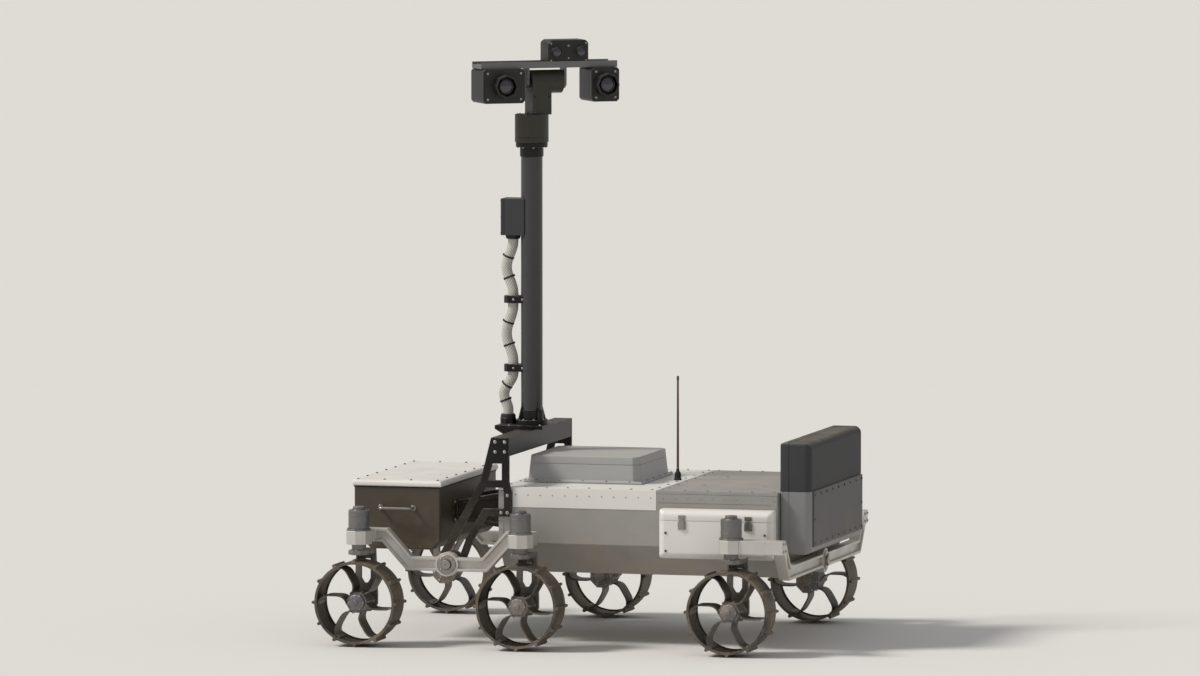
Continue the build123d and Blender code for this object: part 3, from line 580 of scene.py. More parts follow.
# Seams: node, a point of the plane and its direction
seams = {
    "deck_box": (0.572 * up, up),
    "pannier_left": (0.42 * up, up),
    "pannier_right": (0.42 * up, up),
    "rear_case": (-0.722 * forward, forward),
    "junction_box": (0.314 * forward, forward),
    "camera_left": (head @ (0.048 * forward), head_forward),
    "camera_right": (head @ (0.048 * forward), head_forward),
    "navigation_camera": (head @ (0.026 * forward), head_forward),
    "pan_unit": (1.622 * up, up),
}
usual_edge_mm = 1.2
edge_sizes = {"body_tub": 3.0, "deck_box": 8.0, "front_box": 6.0, "front_box_lid": 4.0, "rear_case": 8.0,
              "pannier_left": 8.0, "pannier_right": 8.0, "camera_left": 4.0, "camera_right": 4.0,
              "navigation_camera": 5.0, "rear_case_panel": 1.5, "junction_box": 3.0}
halves = {"rear_case": (0.514, "mid_grey_paint")}  # height of the joint, slot of the lower shell
other_slots = {"mast_tube": "black_anodised"}  # its flanges and ribs, as the tube gets a skin of its own
other_finishes = {"rear_case_panel": "powder_coat_grey_painted_shade"}  # painted shade: darker than the shell round it, for the back face that the sun does not reach
print("seams:", len(seams), "halves:", len(halves))

# %% [markdown]
# The copies are made in one go: merge, dissolve, bevel, then the seams, then the two halves.

# %% Bevelled copies of the rigid nodes
merge_distance = 1e-5
flat_below, sharp_above = radians(1), radians(32)


def cut(shape, point, axis, **clear):
    """Cuts a shape through by a plane, and gives the edges of the cut."""
    parts = shape.verts[:] + shape.edges[:] + shape.faces[:]
    found = bmesh.ops.bisect_plane(shape, geom=parts, dist=1e-6, plane_co=point, plane_no=axis, **clear)
    return [e for e in found["geom_cut"] if isinstance(e, bmesh.types.BMEdge)]


def seam(shape, point, axis, width=0.002, depth=0.0016):
    """Sinks a narrow groove where a plane passes through a shape."""
    for share in (-0.5, -0.35, 0.35, 0.5):
        cut(shape, point + share * width * axis, axis)
    shape.normal_update()
    sunk = [v for v in shape.verts if abs((v.co - point).dot(axis)) < 0.4 * width]
    for v, inward in [(v, v.normal.dot(axis) * axis - v.normal) for v in sunk]:
        v.co += depth * inward


def keep_side(shape, height, top):
    """Cuts a shape level at a height, keeps one side and closes it."""
    rim_edges = cut(shape, height * up, up, clear_inner=top, clear_outer=not top)
    bmesh.ops.contextual_create(shape, geom=rim_edges)
    bmesh.ops.recalc_face_normals(shape, faces=shape.faces[:])


def refined(node, edge_mm):
    """A copy of a CAD node with broken edges, standing for it."""
    shape = bmesh.new()
    shape.from_mesh(nodes[node].data)
    bmesh.ops.remove_doubles(shape, verts=shape.verts, dist=merge_distance)
    bmesh.ops.dissolve_limit(shape, angle_limit=flat_below, verts=shape.verts, edges=shape.edges)
    sharp = [e for e in shape.edges if len(e.link_faces) == 2 and e.calc_face_angle() > sharp_above]
    bmesh.ops.bevel(shape, geom=sharp, offset=edge_mm / 1000, segments=3, affect="EDGES", profile=0.5,
                    material=-1, clamp_overlap=True)
    if node in seams:
        seam(shape, *seams[node])
    if node in halves:
        joint_z, low_slot = halves[node]
        seam(shape, joint_z * up, up)
        low_shape = shape.copy()
        keep_side(low_shape, joint_z, top=False)
        keep_side(shape, joint_z, top=True)
        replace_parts(settle(low_shape, node + "_lower", low_slot, body=node_body[node]), node)
    slot = other_slots.get(node, node_slot[node])
    thing = settle(shape, node + "_finished", slot, other_finishes.get(node), node_body[node])
    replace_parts(thing, node)
    return len(thing.data.polygons)


faces = {n: refined(n, edge_sizes.get(n, usual_edge_mm)) for n in nodes if n not in own_shapes}
print("faces of the bevelled copies:", sum(faces.values()))

# %% [markdown]
# ## Wheels
# The wheels are the rover's most telling part. Each is a thin metal rim with twelve grousers,
# carried on leaf springs, so that it flattens a little on stones as a tyre does. All of it is
# made about the wheel's own axle, with z outboard, and then set in its place. The rim is a turned
# band with hemmed edges, and a grouser is a block that is drawn in at the top before its edges
# are softened.

# %% Wheel sizes in metres, and the rim
wheel_radius, half_width = 0.1425, 0.06
rim_outer, rim_inner, hem = 0.1335, 0.1305, 0.005
grouser_half, grouser_taper = 0.006, 0.62
hub_flat, hub_face = 0.033, 0.03
drum_radius, drum_depth = 0.0203, 0.015
half_track = 0.55
wheel_x = {"front": 0.658, "middle": 0.118, "rear": -0.582}
sides = {"left": 1, "right": -1}
wheel_places = {f"{row}_{side}": at(x, sign * half_track, 0) @ spun(0 if sign > 0 else 180)
                for row, x in wheel_x.items() for side, sign in sides.items()}
spokes = [spun(-60 * i) for i in range(6)]
grousers = [spun(30 * i) for i in range(12)]


def rim(shape, place):
    """The band with hemmed edges, and its grousers."""
    lip, wall = rim_inner - hem, half_width - 0.002
    profile = [(rim_outer, -half_width), (rim_outer, half_width), (lip, half_width), (lip, wall),
               (rim_inner, wall), (rim_inner, -wall), (lip, -wall), (lip, -half_width)]
    turn(shape, profile, place, steps=144, closed=True)
    for grouser in grousers:
        about = place @ grouser
        bar = block(shape, (rim_outer - 0.001, -grouser_half, -half_width),
                    (wheel_radius, grouser_half, half_width), 0, about)
        away = about.inverted()
        for v in bar:
            spot = away @ v.co
            if spot.x > rim_outer + 0.004:
                v.co = about @ Vector((spot.x, spot.y * grouser_taper, spot.z))
        soften(shape, bar, 0.0009)


print("wheels:", len(wheel_places), "of", 2000 * wheel_radius, "mm")

# %% [markdown]
# A spring is a pair of steel strips, bowed from the hub to the rim and close enough to slide on
# each other. A strip is a flat grid that is moved onto the spring's curve and then given its
# thickness. Its normals are brought up to date first, because solidify goes by them.

# %% Leaf springs
leaf_bow, half_leaf_width, leaf_thickness = 0.022, 0.038, 0.0019
leaf_offsets = (-0.0012, 0.0012)


def leaves(shape, place):
    """Six springs of two leaves each, bowed between the hub and the rim."""
    inner, outer = hub_flat - 0.001, rim_inner + 0.0005
    for spoke in spokes:
        for offset in leaf_offsets:
            made = bmesh.ops.create_grid(shape, x_segments=28, y_segments=1, size=1)["verts"]
            for v in made:
                t = (v.co.x + 1) / 2
                bow = leaf_bow * (1 - (2 * t - 1) ** 4)
                v.co = Vector((inner + t * (outer - inner), -bow - offset, v.co.y * half_leaf_width))
            strip = list({f for v in made for f in v.link_faces})
            for part in strip + made:
                part.normal_update()
            before = set(shape.verts) - set(made)
            bmesh.ops.solidify(shape, geom=strip, thickness=leaf_thickness)
            bmesh.ops.transform(shape, matrix=place @ spoke, verts=face_out(shape, before))


print("leaves on a wheel:", len(spokes) * len(leaf_offsets))

# %% [markdown]
# The hub is a hexagon, so that each spring has a flat to sit on, and is open inboard for the
# drive motor. Two circles, of six and of 36 corners, are drawn into cups, and the rings at their
# mouths are bridged. A turned cap closes it outboard, and clamps hold both ends of every spring.

# %% Hub, clamps and screws


def hub(shape, place):
    """The hexagonal hub with its cap and the springs' clamps, the first thing in its shape."""
    mouths = []
    corner = hub_flat / cos(radians(30))
    for count, radius, turned, depth in ((6, corner, 30, half_width + hub_face),
                                         (36, drum_radius, 0, half_width + drum_depth)):
        ring = edges_of(bmesh.ops.create_circle(shape, segments=count, radius=radius,
                                                matrix=spun(turned) @ at(0, 0, -half_width))["verts"])
        walls = bmesh.ops.extrude_edge_only(shape, edges=ring)["geom"]
        far = [v for v in walls if isinstance(v, bmesh.types.BMVert)]
        bmesh.ops.translate(shape, verts=far, vec=depth * up)
        bmesh.ops.contextual_create(shape, geom=[e for e in edges_of(far) if all(v in far for v in e.verts)])
        mouths += ring
    bmesh.ops.bridge_loops(shape, edges=mouths)
    bmesh.ops.recalc_face_normals(shape, faces=shape.faces[:])
    bmesh.ops.transform(shape, matrix=place, verts=shape.verts[:])
    cap = [(0, 0.014), (0.007, 0.014), (0.009, 0.011), (0.021, 0.008), (0.026, 0.006), (0.028, 0.003),
           (0.028, 0)]
    turn(shape, cap, place @ at(0, 0, hub_face), steps=36)
    for spoke in spokes:
        about = place @ spoke
        block(shape, (hub_flat - 0.001, -0.009, -0.037), (hub_flat + 0.004, 0.007, 0.029), 0.001, about)
        block(shape, (rim_inner - 0.006, -0.011, -0.037), (rim_inner, 0.009, 0.037), 0.0012, about)


def wheel_screws(shape, place):
    """Screws in the hub's cap, the springs' clamps and the rim."""
    screws(shape, ring_of(0.0235, 6, hub_face + 0.006), up, 0.002, 0.002, place)
    for spoke in spokes:
        rim_spots = [(rim_inner - 0.006, -0.001, z) for z in (-0.026, 0.0, 0.026)]
        screws(shape, rim_spots, -forward, 0.0025, 0.002, place @ spoke)
        hub_spots = [(hub_flat + 0.004, 0.0035, z) for z in (-0.028, 0.02)]
        screws(shape, hub_spots, forward, 0.0022, 0.002, place @ spoke)


def set_at_wheels(kinds, body, within=Matrix()):
    """Makes each kind of piece at each wheel, on that wheel's own body."""
    for spot, place in wheel_places.items():
        for make, name, slot, finish in kinds:
            shape = bmesh.new()
            make(shape, place @ within)
            piece = settle(shape, name + spot, slot, finish, body + spot)
            if make is rim:
                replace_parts(piece, body + spot)


wheel_pieces = [
    (rim, "rim_", "wheel_metal", None),
    (leaves, "leaf_springs_", "wheel_metal", "spring_steel_leaf"),
    (hub, "hub_", "motor_case", None),
    (wheel_screws, "wheel_screws_", "steel", "zinc_plated_screw"),
]
set_at_wheels(wheel_pieces, "wheel_", at(0, 0, wheel_radius) @ spun(-90, "X"))
print("wheels set:", len(wheel_places))

# %% [markdown]
# ## Knuckles
# Each wheel is steered by a bent bracket over it, and driven by a motor on the bracket's arm. The
# motor's end shows inboard under a cap, a bearing ring faces the wheel, and two gussets brace the
# bend. The round parts are turned and the gussets are cut slabs. All of it is laid out once,
# about the steering axis with y outboard, and set at each wheel.

# %% Motor caps, bearing rings, gussets and screws on the knuckles
arm_inboard, arm_outboard = -0.092, -0.078
plate_low, plate_top = 0.296, 0.31
gusset = [(0, 0), (0, 0.014), (0.004, 0.014), (0.03, 0.003), (0.03, 0)]
axle_end = facing((0, arm_inboard, wheel_radius), (0, -1, 0))


def knuckle_trim(shape, place):
    """The drive motor's cap, the bearing ring and two gussets."""
    cap = [(0, 0.011), (0.012, 0.011), (0.0165, 0.0085), (0.0175, 0.003), (0.0235, 0.003), (0.0245, 0.0)]
    turn(shape, cap, place @ axle_end, steps=32)
    ring = [(0.0203, 0), (0.0203, 0.006), (0.026, 0.006), (0.0285, 0.003), (0.0285, 0)]
    turn(shape, ring, place @ facing((0, arm_outboard, wheel_radius), (0, 1, 0)), steps=32, closed=True)
    for x in (-0.025, 0.025):
        slab(shape, gusset, 0.004, place @ at(x, arm_outboard, plate_low) @ spun(90, "Y"))


def knuckle_screws(shape, place):
    """Screws round the motor's cap, down the arm and round the steering flange."""
    screws(shape, ring_of(0.0205, 6, 0.003), up, 0.0016, 0.0016, place @ axle_end)
    screws(shape, ring_of(0.031, 6), up, 0.0022, 0.002, place @ axle_end)
    arm_spots = [(x, arm_inboard, z) for x in (-0.024, 0.024) for z in (0.283, 0.303)]
    screws(shape, arm_spots, (0, -1, 0), 0.0022, 0.002, place)
    screws(shape, ring_of(0.0285, 6, plate_top, 30), up, 0.002, 0.002, place)


set_at_wheels([(knuckle_trim, "knuckle_trim_", "motor_case", None),
               (knuckle_screws, "knuckle_screws_", "steel", "zinc_plated_screw")], "steer_")
print("knuckles trimmed:", len(wheel_places))

# %% [markdown]
# ## Steering motors
# Over each wheel stands the motor that steers it, on the bogie's head. Such a motor has a flange
# with small screws, a joint line where the gearbox ends, an encoder under a low cap and a capped
# plug on its side. They are turned parts, and the joint line is a thin proud band.

# %% Flanges, bands, caps and plugs of the steering motors
motor_low, motor_top, motor_radius = 0.374, 0.44, 0.034
sunk, proud = motor_radius - 0.001, motor_radius + 0.0008
flange_profile = [(sunk, 0), (0.0392, 0), (0.0392, 0.005), (0.0386, 0.0056), (sunk, 0.0056)]
band_profile = [(sunk, 0), (proud, 0), (proud, 0.002), (sunk, 0.002)]
encoder_profile = [(0, 0.012), (0.018, 0.012), (0.0195, 0.0105), (0.0195, 0.002), (0.0235, 0.002),
                   (0.0245, 0)]
plug_profile = [(0, 0.017), (0.007, 0.017), (0.0082, 0.0158), (0.0082, 0.006), (0.0105, 0.006),
                (0.0105, -0.001)]

shape, small, plugs = bmesh.new(), bmesh.new(), bmesh.new()
for place in wheel_places.values():
    foot, lid = place @ at(0, 0, motor_low), place @ at(0, 0, motor_top)
    turn(shape, flange_profile, foot, closed=True)
    for z in (0.022, 0.05):
        turn(shape, band_profile, foot @ at(0, 0, z), closed=True)
    turn(shape, encoder_profile, lid, steps=32)
    screws(small, ring_of(0.0368, 8, 0.0056), up, 0.0013, 0.0014, foot)
    screws(small, ring_of(0.0285, 6), up, 0.0016, 0.0016, lid)
    screws(small, ring_of(0.0215, 3, 0.002), up, 0.001, 0.001, lid)
    turn(plugs, plug_profile, place @ facing((0, -motor_radius, motor_low + 0.036), (0, -1, 0)), steps=24)
settle(shape, "steering_motor_trim", "motor_case")
settle(small, "steering_motor_screws", "steel", "black_oxide_screw")
settle(plugs, "steering_motor_plugs", "motor_case", "moulded_black_rubber")
print("steering motors trimmed:", len(wheel_places))

# %% [markdown]
# ## Bogies and pivots
# A bogie rocks on a stub shaft. A ring with four screws holds it on, and the shaft's end keeps the
# lathe's centre mark. Screws also join the arms over the wheels to the beam. The rings are turned
# like the rest, with one place for each pivot: its point and the way its shaft looks.

# %% Pivot rings and bogie screws
bogie_inner, bogie_outer = 0.432, 0.468
pivot_z, side_pivot_x, rear_beam_back = 0.262, 0.388, -0.758
keeper_profile = [(0.0165, 0), (0.0165, 0.003), (0.03, 0.003), (0.0315, 0.0015), (0.0315, 0)]
stub_profile = [(0.0, 0.0085), (0.0025, 0.0105), (0.0145, 0.0105), (0.0158, 0.0092), (0.0158, 0.003)]
pivots = [facing((side_pivot_x, sign * bogie_outer, pivot_z), (0, sign, 0)) for sign in (1, -1)]
pivots.append(facing((rear_beam_back, 0, pivot_z), -forward))
arm_screws = [(a, z) for a in (-0.016, 0.016) for z in (0.34, 0.364)]
shape, small = bmesh.new(), bmesh.new()
for here in pivots:
    turn(shape, keeper_profile, here, closed=True)
    turn(shape, stub_profile, here, steps=32)
    screws(small, ring_of(0.0245, 4, 0.003, 45), up, 0.0025, 0.0025, here)
for sign in (1, -1):
    for x in (wheel_x["front"], wheel_x["middle"]):
        screws(small, [(x + a, sign * bogie_inner, z) for a, z in arm_screws], (0, -sign, 0), 0.003, 0.003)
    rear_spots = [(rear_beam_back, sign * (half_track + a), z) for a, z in arm_screws]
    screws(small, rear_spots, -forward, 0.003, 0.003)
settle(shape, "pivot_rings", "steel")
settle(small, "bogie_screws", "steel", "zinc_plated_screw")
print("pivots:", len(pivots))

# %% [markdown]
# ## Body and deck
# The body is a tub of folded sheet under two screwed deck panels. The rear panel is bare sheet.
# The front one is white, and its sides fold down over the tub, which shows from the side as a
# bright band. Strips along the tub's edges carry rows of rivets, and steel bushings line the four
# payload holes. A rivet is a low cone, since its few millimetres need no more. The screws follow
# the panels' edges, so each row is two corners and a count.

# %% Edge strips, folds and rivets of the body
deck_z, body_side = 0.51, 0.38
strip_face = body_side + 0.0014
# The fold and the strips: x from and to, z from and to. Rows of rivets: x and z of both ends, a count
fold = (-0.2895, 0.19, 0.4455, 0.5096)
strips = [(-0.6905, -0.2925, 0.472, 0.4992), (-0.6905, -0.672, 0.3325, 0.472),
          (0.2205, 0.2372, 0.3325, 0.412)]
rivet_rows = [(-0.68, 0.486, 0.18, 0.486, 22), (-0.681, 0.35, -0.681, 0.455, 4),
              (0.229, 0.345, 0.229, 0.4, 3)]
# Rows from end to end on the taper and the belly: y and z, and the y and z of the way they look
low_ends, low_count = (-0.67, 0.216), 20
low_rows = [(0.3704, 0.318, 0.1, -0.08), (0.3096, 0.242, 0.1, -0.08), (0.285, 0.23, 0, -1)]
rivet_radius = 0.0026


def rivets(shape, first, last, count, axis):
    """A row of low rivet heads."""
    for spot in between(first, last, count):
        cone(shape, facing(spot, axis), 10, rivet_radius, 0.45 * rivet_radius, 0.0014, 0.0006)


shape, small, folds = bmesh.new(), bmesh.new(), bmesh.new()
for sign in (1, -1):
    low_y, high_y = sorted((sign * (body_side - 0.001), sign * strip_face))
    block(folds, (fold[0], low_y, fold[2]), (fold[1], high_y, fold[3]), 0.0008)
    for x, far_x, z, far_z in strips:
        block(shape, (x, low_y, z), (far_x, high_y, far_z), 0.0006)
    for x, z, far_x, far_z, count in rivet_rows:
        rivets(small, (x, sign * strip_face, z), (far_x, sign * strip_face, far_z), count, (0, sign, 0))
    for y, z, way_y, way_z in low_rows:
        rivets(small, *[(x, sign * y, z) for x in low_ends], low_count, (0, sign * way_y, way_z))
settle(shape, "body_edge_strips", "body_panel")
settle(folds, "front_deck_folds", "white_paint")
settle(small, "body_rivets", "steel", "zinc_plated_screw")
print("strips on a side:", len(strips))

# %% [markdown]
# The deck's screws run round each panel: long rows near its sides and short rows across its ends.

# %% Deck screws and payload bushings
side_rows = [(-0.676, -0.306, 6), (-0.272, 0.222, 8)]
cross_rows = (-0.676, -0.306, -0.274, 0.222)
side_y, cross_y = 0.364, 0.28
shape = bmesh.new()
for sign in (1, -1):
    for x, far_x, count in side_rows:
        row = between((x, sign * side_y, deck_z), (far_x, sign * side_y, deck_z), count)
        screws(shape, row, up, 0.003, 0.002)
for x in cross_rows:
    screws(shape, between((x, -cross_y, deck_z), (x, cross_y, deck_z), 6), up, 0.003, 0.002)
settle(shape, "deck_screws", "steel", "zinc_plated_screw")

bushing_profile = [(0.0033, -0.009), (0.0033, 0.0008), (0.006, 0.0008), (0.0068, 0.0), (0.0048, -0.0006),
                   (0.0048, -0.009)]
bushings = [(x, y) for x in (-0.591, -0.391) for y in (-0.15, 0.15)]
shape = bmesh.new()
for x, y in bushings:
    turn(shape, bushing_profile, at(x, y, deck_z), steps=32, closed=True)
settle(shape, "payload_bushings", "steel")
print("rows across the deck:", len(cross_rows), "bushings:", len(bushings))

# %% [markdown]
# ## Boxes
# The panniers' covers come off whole for the batteries, and draw latches across the seam hold
# them. The front box's lid, the deck box and the rear panel are opened only in the workshop, so
# they are screwed down all round and have no hinge, and the front box has a handle at each end. A
# latch is a plate, a lever, a hook and a keeper, all of them small blocks in a frame of their
# own, so that the same latch goes on either pannier.

# %% Latches and handles
pannier_face, pannier_seam, front_box_side = 0.44, 0.42, 0.34
latch_x, handle_x, handle_z = (-0.61, -0.39), (0.535, 0.645), 0.43
handle_reach, handle_bend, bar_radius = 0.03, 0.012, 0.0045
# A latch's blocks: half width, y from and to, z from and to, edge
latch_blocks = [(0.013, -0.028, -0.003, -0.001, 0.002, 0.0006), (0.012, 0.005, 0.018, -0.001, 0.002, 0.0006),
                (0.009, -0.026, 0.003, 0.0015, 0.0065, 0.0015), (0.0045, -0.001, 0.012, 0.003, 0.005, 0.0008),
                (0.007, 0.009, 0.0125, 0.0015, 0.006, 0.001)]


def latch(shape, place):
    """A draw latch: x across, y up and over the seam, z out of the face."""
    for half, low_y, high_y, low_z, high_z, edge in latch_blocks:
        block(shape, (-half, low_y, low_z), (half, high_y, high_z), edge, place)
    tube(shape, [place @ Vector((x, -0.006, 0.0035)) for x in (-0.011, 0.011)], 0.0016,
         place.to_3x3() @ Vector((0, 1, 0)), 10)


def bow_handle(shape, first, last, out):
    """A level handle between two points of a face, standing out from it."""
    first, last, out = Vector(first), Vector(last), Vector(out)
    along, outward = (last - first).normalized(), out.normalized()
    straight = out.length - handle_bend
    points = [first - 0.001 * outward, first + straight * outward]
    for i in range(1, 6):
        a = radians(18 * i)
        points.append(first + (straight + handle_bend * sin(a)) * outward
                      + handle_bend * (1 - cos(a)) * along)
    far = [last + (p - first).dot(outward) * outward - (p - first).dot(along) * along for p in points]
    tube(shape, points + far[::-1], bar_radius, up, 16)
    foot = [(0, 0.004), (0.0085, 0.004), (0.0095, 0.003), (0.0095, -0.001)]
    turn(shape, foot, facing(first, outward), steps=24)
    turn(shape, foot, facing(last, outward), steps=24)


shape = bmesh.new()
for sign in (1, -1):
    for x in latch_x:
        turned_out = spun(180 if sign > 0 else 0) @ spun(90, "X")
        latch(shape, at(x, sign * pannier_face, pannier_seam) @ turned_out)
    ends = [(x, sign * front_box_side, handle_z) for x in handle_x]
    bow_handle(shape, *ends, (0, sign * handle_reach, 0))
settle(shape, "box_latches_and_handles", "steel")
print("blocks of a latch:", len(latch_blocks))

# %% [markdown]
# The screws of a lid sit in rows along its four edges, and a pannier has two more low down at
# each end. A gasket shows as a dark line under the front box's lid.

# %% Box screws and the gasket
lid_top, box_flange, panel_back, panel_y = 0.52, 0.518, -0.8005, 0.314
# Rows of the lid, the deck box's flange and the rear panel: both ends, and a count
lid_rows = [((x, -0.22, lid_top), (x, 0.22, lid_top), 5) for x in (0.456, 0.724)]
lid_rows += [((0.456, y, lid_top), (0.724, y, lid_top), 4) for y in (-0.33, 0.33)]
flange_rows = [((x, -0.19, box_flange), (x, 0.19, box_flange), 6) for x in (-0.1906, 0.2006)]
flange_rows += [((-0.152, y, box_flange), (0.162, y, box_flange), 5) for y in (-0.1956, 0.1956)]
panel_rows = [((panel_back, -panel_y, z), (panel_back, panel_y, z), count)
              for z, count in ((0.346, 9), (0.502, 9), (0.424, 2))]
small = bmesh.new()
for rows, axis, radius, height in ((lid_rows, up, 0.0028, 0.002), (flange_rows, up, 0.0018, 0.0016),
                                   (panel_rows, -forward, 0.0028, 0.002)):
    for first, last, count in rows:
        screws(small, between(first, last, count), axis, radius, height)
for sign in (1, -1):
    spots = [(x, sign * pannier_face, z) for x in (-0.664, -0.336) for z in (0.322, 0.38)]
    screws(small, spots, (0, sign, 0), 0.0025, 0.002)
settle(small, "box_screws", "steel", "black_oxide_screw")

gasket = bmesh.new()
block(gasket, (0.4438, -0.3412, 0.4953), (0.7362, 0.3412, 0.4998), 0.0006)
settle(gasket, "front_box_gasket", "olive_case", "moulded_black_rubber")
print("rows of box screws:", len(lid_rows) + len(flange_rows) + len(panel_rows))

# %% [markdown]
# ## Front frame
# The crossbeam, its two side plates and the two arms for the front box are bolted together. Each
# arm has a flange on the body and one on the box. Bolts this size show from far off as a row of
# bright dots on the black, and tell how the frame is joined.

# %% Bolts of the side plates, and the arms' flanges
plate_outer, arm_y = 0.392, 0.15
plate_bolts = [(x, z) for x in (0.214, 0.246) for z in (0.624, 0.656)]
plate_bolts += [(0.205, 0.427), (0.205, 0.483), (0.226, 0.427)]
# Flanges of an arm: x of the face that it sits on, z from and to, the way it stands out
arm_flanges = ((0.238, 0.342, 0.488, 1), (0.445, 0.372, 0.448, -1))
shape, small = bmesh.new(), bmesh.new()
for sign in (1, -1):
    screws(small, [(x, sign * plate_outer, z) for x, z in plate_bolts], (0, sign, 0), 0.0035, 0.003)
    for x, low_z, top_z, way in arm_flanges:
        y, front = sign * arm_y, x + 0.004 * way
        block(shape, (min(x, front), y - 0.036, low_z), (max(x, front), y + 0.036, top_z), 0.0008)
        spots = [(front, y + d, z) for d in (-0.028, 0.028) for z in (low_z + 0.01, top_z - 0.01)]
        screws(small, spots, way * forward, 0.003, 0.0025)
settle(shape, "arm_flanges", "black_anodised")
settle(small, "frame_bolts", "steel", "zinc_plated_screw")
print("bolts in a side plate:", len(plate_bolts))

# %% [markdown]
# ## Mast and cable bundle
# The mast is a carbon tube bonded into two flanges. Beside it the cables of the head run down in
# one braided sleeve, held by two clamps and bowed between them, and drawn tight by ties. The
# bundle could be a curve with a bevel, but a tube made ring by ring can also carry its own axis
# for the braid to follow.

# %% The sleeve, its ties and its glands
sleeve_radius = 0.0172
bow_depth = 0.022
bow_parts = 18
tie_shares = (0.3, 0.7)
# The straight stretches: x, and the heights of both ends
stretches = [(0.31, 0.702, 0.722), (0.293, 0.846, 0.886), (0.293, 1.07, 1.11), (0.293, 1.2797, 1.2997)]


def bowed(low, high, share):
    """A point between two ends of a bow, in the plane of the bundle."""
    out = bow_depth * (1 - cos(2 * pi * share)) / 2
    return Vector((low[0] + share * (high[0] - low[0]) + out, 0, low[1] + share * (high[1] - low[1])))


points, ties = [], []
for x, low_z, top_z in stretches:
    if points:
        ends = (points[-1].x, points[-1].z), (x, low_z)
        points += [bowed(*ends, part / bow_parts) for part in range(1, bow_parts)]
        for share in tie_shares:
            ahead = bowed(*ends, share + 0.01) - bowed(*ends, share - 0.01)
            ties.append(facing(bowed(*ends, share), ahead))
    points += [Vector((x, 0, z)) for z in (low_z, (low_z + top_z) / 2, top_z)]

shape = bmesh.new()
tube(shape, points, sleeve_radius, (0, 1, 0), 32)
own_axis = shape.verts.layers.float.new("bundle_axis_x")
for v in shape.verts:
    v[own_axis] = min(points, key=lambda point: abs(point.z - v.co.z)).x
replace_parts(settle(shape, "cable_bundle", "harness_sleeve"), "mast_harness")

tie_profile = [(0.0168, -0.003), (0.0181, -0.003), (0.0186, 0), (0.0181, 0.003), (0.0168, 0.003)]
gland_profile = [(0.0174, 0), (0.0174, 0.013), (0.021, 0.013), (0.0245, 0.008), (0.0245, 0)]
shape = bmesh.new()
for here in ties:
    turn(shape, tie_profile, here, closed=True)
    block(shape, (-0.003, 0.017, -0.0035), (0.003, 0.0215, 0.0035), 0.0008, here)
turn(shape, gland_profile, facing((0.31, 0, 0.702), up), closed=True)
turn(shape, gland_profile, facing((0.293, 0, 1.3), -up), closed=True)
settle(shape, "bundle_ties_and_glands", "harness_sleeve", "moulded_black_rubber")
print("points of the bundle:", len(points), "ties:", len(ties))

# %% [markdown]
# The mast's tube is turned once more as the carbon skin, a hair proud of the CAD's tube, so that
# the twill ends where the metal flanges begin. The rest of the mast is small hardware: bonded
# collars at the tube's ends, bolts through both flanges and the foot, and screws in the clamps
# and in the junction box's lid.

# %% Tube, collars and screws of the mast
foot_top, mast_top = 0.682, 1.588
flange_top = foot_top + 0.016
tube_ends = [at(mast_x, 0, flange_top), facing((mast_x, 0, mast_top), -up)]
low, high = flange_top - 0.001, mast_top + 0.001
inner, outer = mast_radius - 0.001, mast_radius + 0.0002
skin = [(inner, low), (outer, low), (outer, high), (inner, high)]
shape = bmesh.new()
turn(shape, skin, at(mast_x, 0, 0), steps=72, closed=True)
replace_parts(settle(shape, "mast_carbon_tube", "mast_black"), "mast_tube")

collar = [(0.0345, 0), (0.0385, 0), (0.0385, 0.028), (0.037, 0.032), (0.0345, 0.032)]
shape, small = bmesh.new(), bmesh.new()
for end in tube_ends:
    turn(shape, collar, end, closed=True)
    screws(small, ring_of(0.0455, 8, 0, 22.5), up, 0.0026, 0.0026, end)
settle(shape, "mast_collars", "black_anodised")

for sign in (1, -1):
    screws(small, [(x, sign * 0.06, foot_top) for x in (0.187, 0.29, 0.325)], up, 0.0032, 0.0028)
    clamp_spots = [(x, sign * 0.027, z) for x in (0.255, 0.285) for z in (0.866, 1.09)]
    screws(small, clamp_spots, (0, sign, 0), 0.0022, 0.002)
    screws(small, [(0.326, sign * 0.0275, z) for z in (1.308, 1.36, 1.412)], forward, 0.0022, 0.0018)
settle(small, "mast_screws", "steel", "zinc_plated_screw")
print("mast:", round(1000 * (mast_top - foot_top)), "mm")

# %% [markdown]
# ## Antenna
# A whip antenna is a thin rod of glass fibre in a rubber foot, with a small ferrule at its tip.
# Both parts are turned, and replace the plain rod.

# %% Whip antenna
antenna_place = at(-0.262, 0, deck_z)
foot_profile = [(0, 0), (0.0125, 0), (0.0125, 0.004), (0.0108, 0.006), (0.0108, 0.02), (0.0085, 0.026),
                (0.0052, 0.03), (0.0052, 0.036), (0, 0.036)]
whip_profile = [(0, 0.03), (0.0042, 0.03), (0.0034, 0.325), (0.0042, 0.326), (0.0042, 0.337), (0.003, 0.34),
                (0, 0.34)]
shape = bmesh.new()
turn(shape, foot_profile, antenna_place, steps=32)
settle(shape, "antenna_foot", "antenna_rod", "moulded_black_rubber")
shape = bmesh.new()
turn(shape, whip_profile, antenna_place, steps=24)
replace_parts(settle(shape, "antenna_whip", "antenna_rod"), "whip_antenna")
print("antenna:", round(1000 * whip_profile[-1][1]), "mm")

# %% [markdown]
# ## Camera head
# The head turns on the pan unit and nods on the tilt unit. A pair of cameras hangs under the
# bench and a third stands on top. What tells a camera from a box is its front: a plate with four
# screws, a hood, and a coated glass that catches the sky. The head is laid out looking along x
# and then turned to where it is parked.

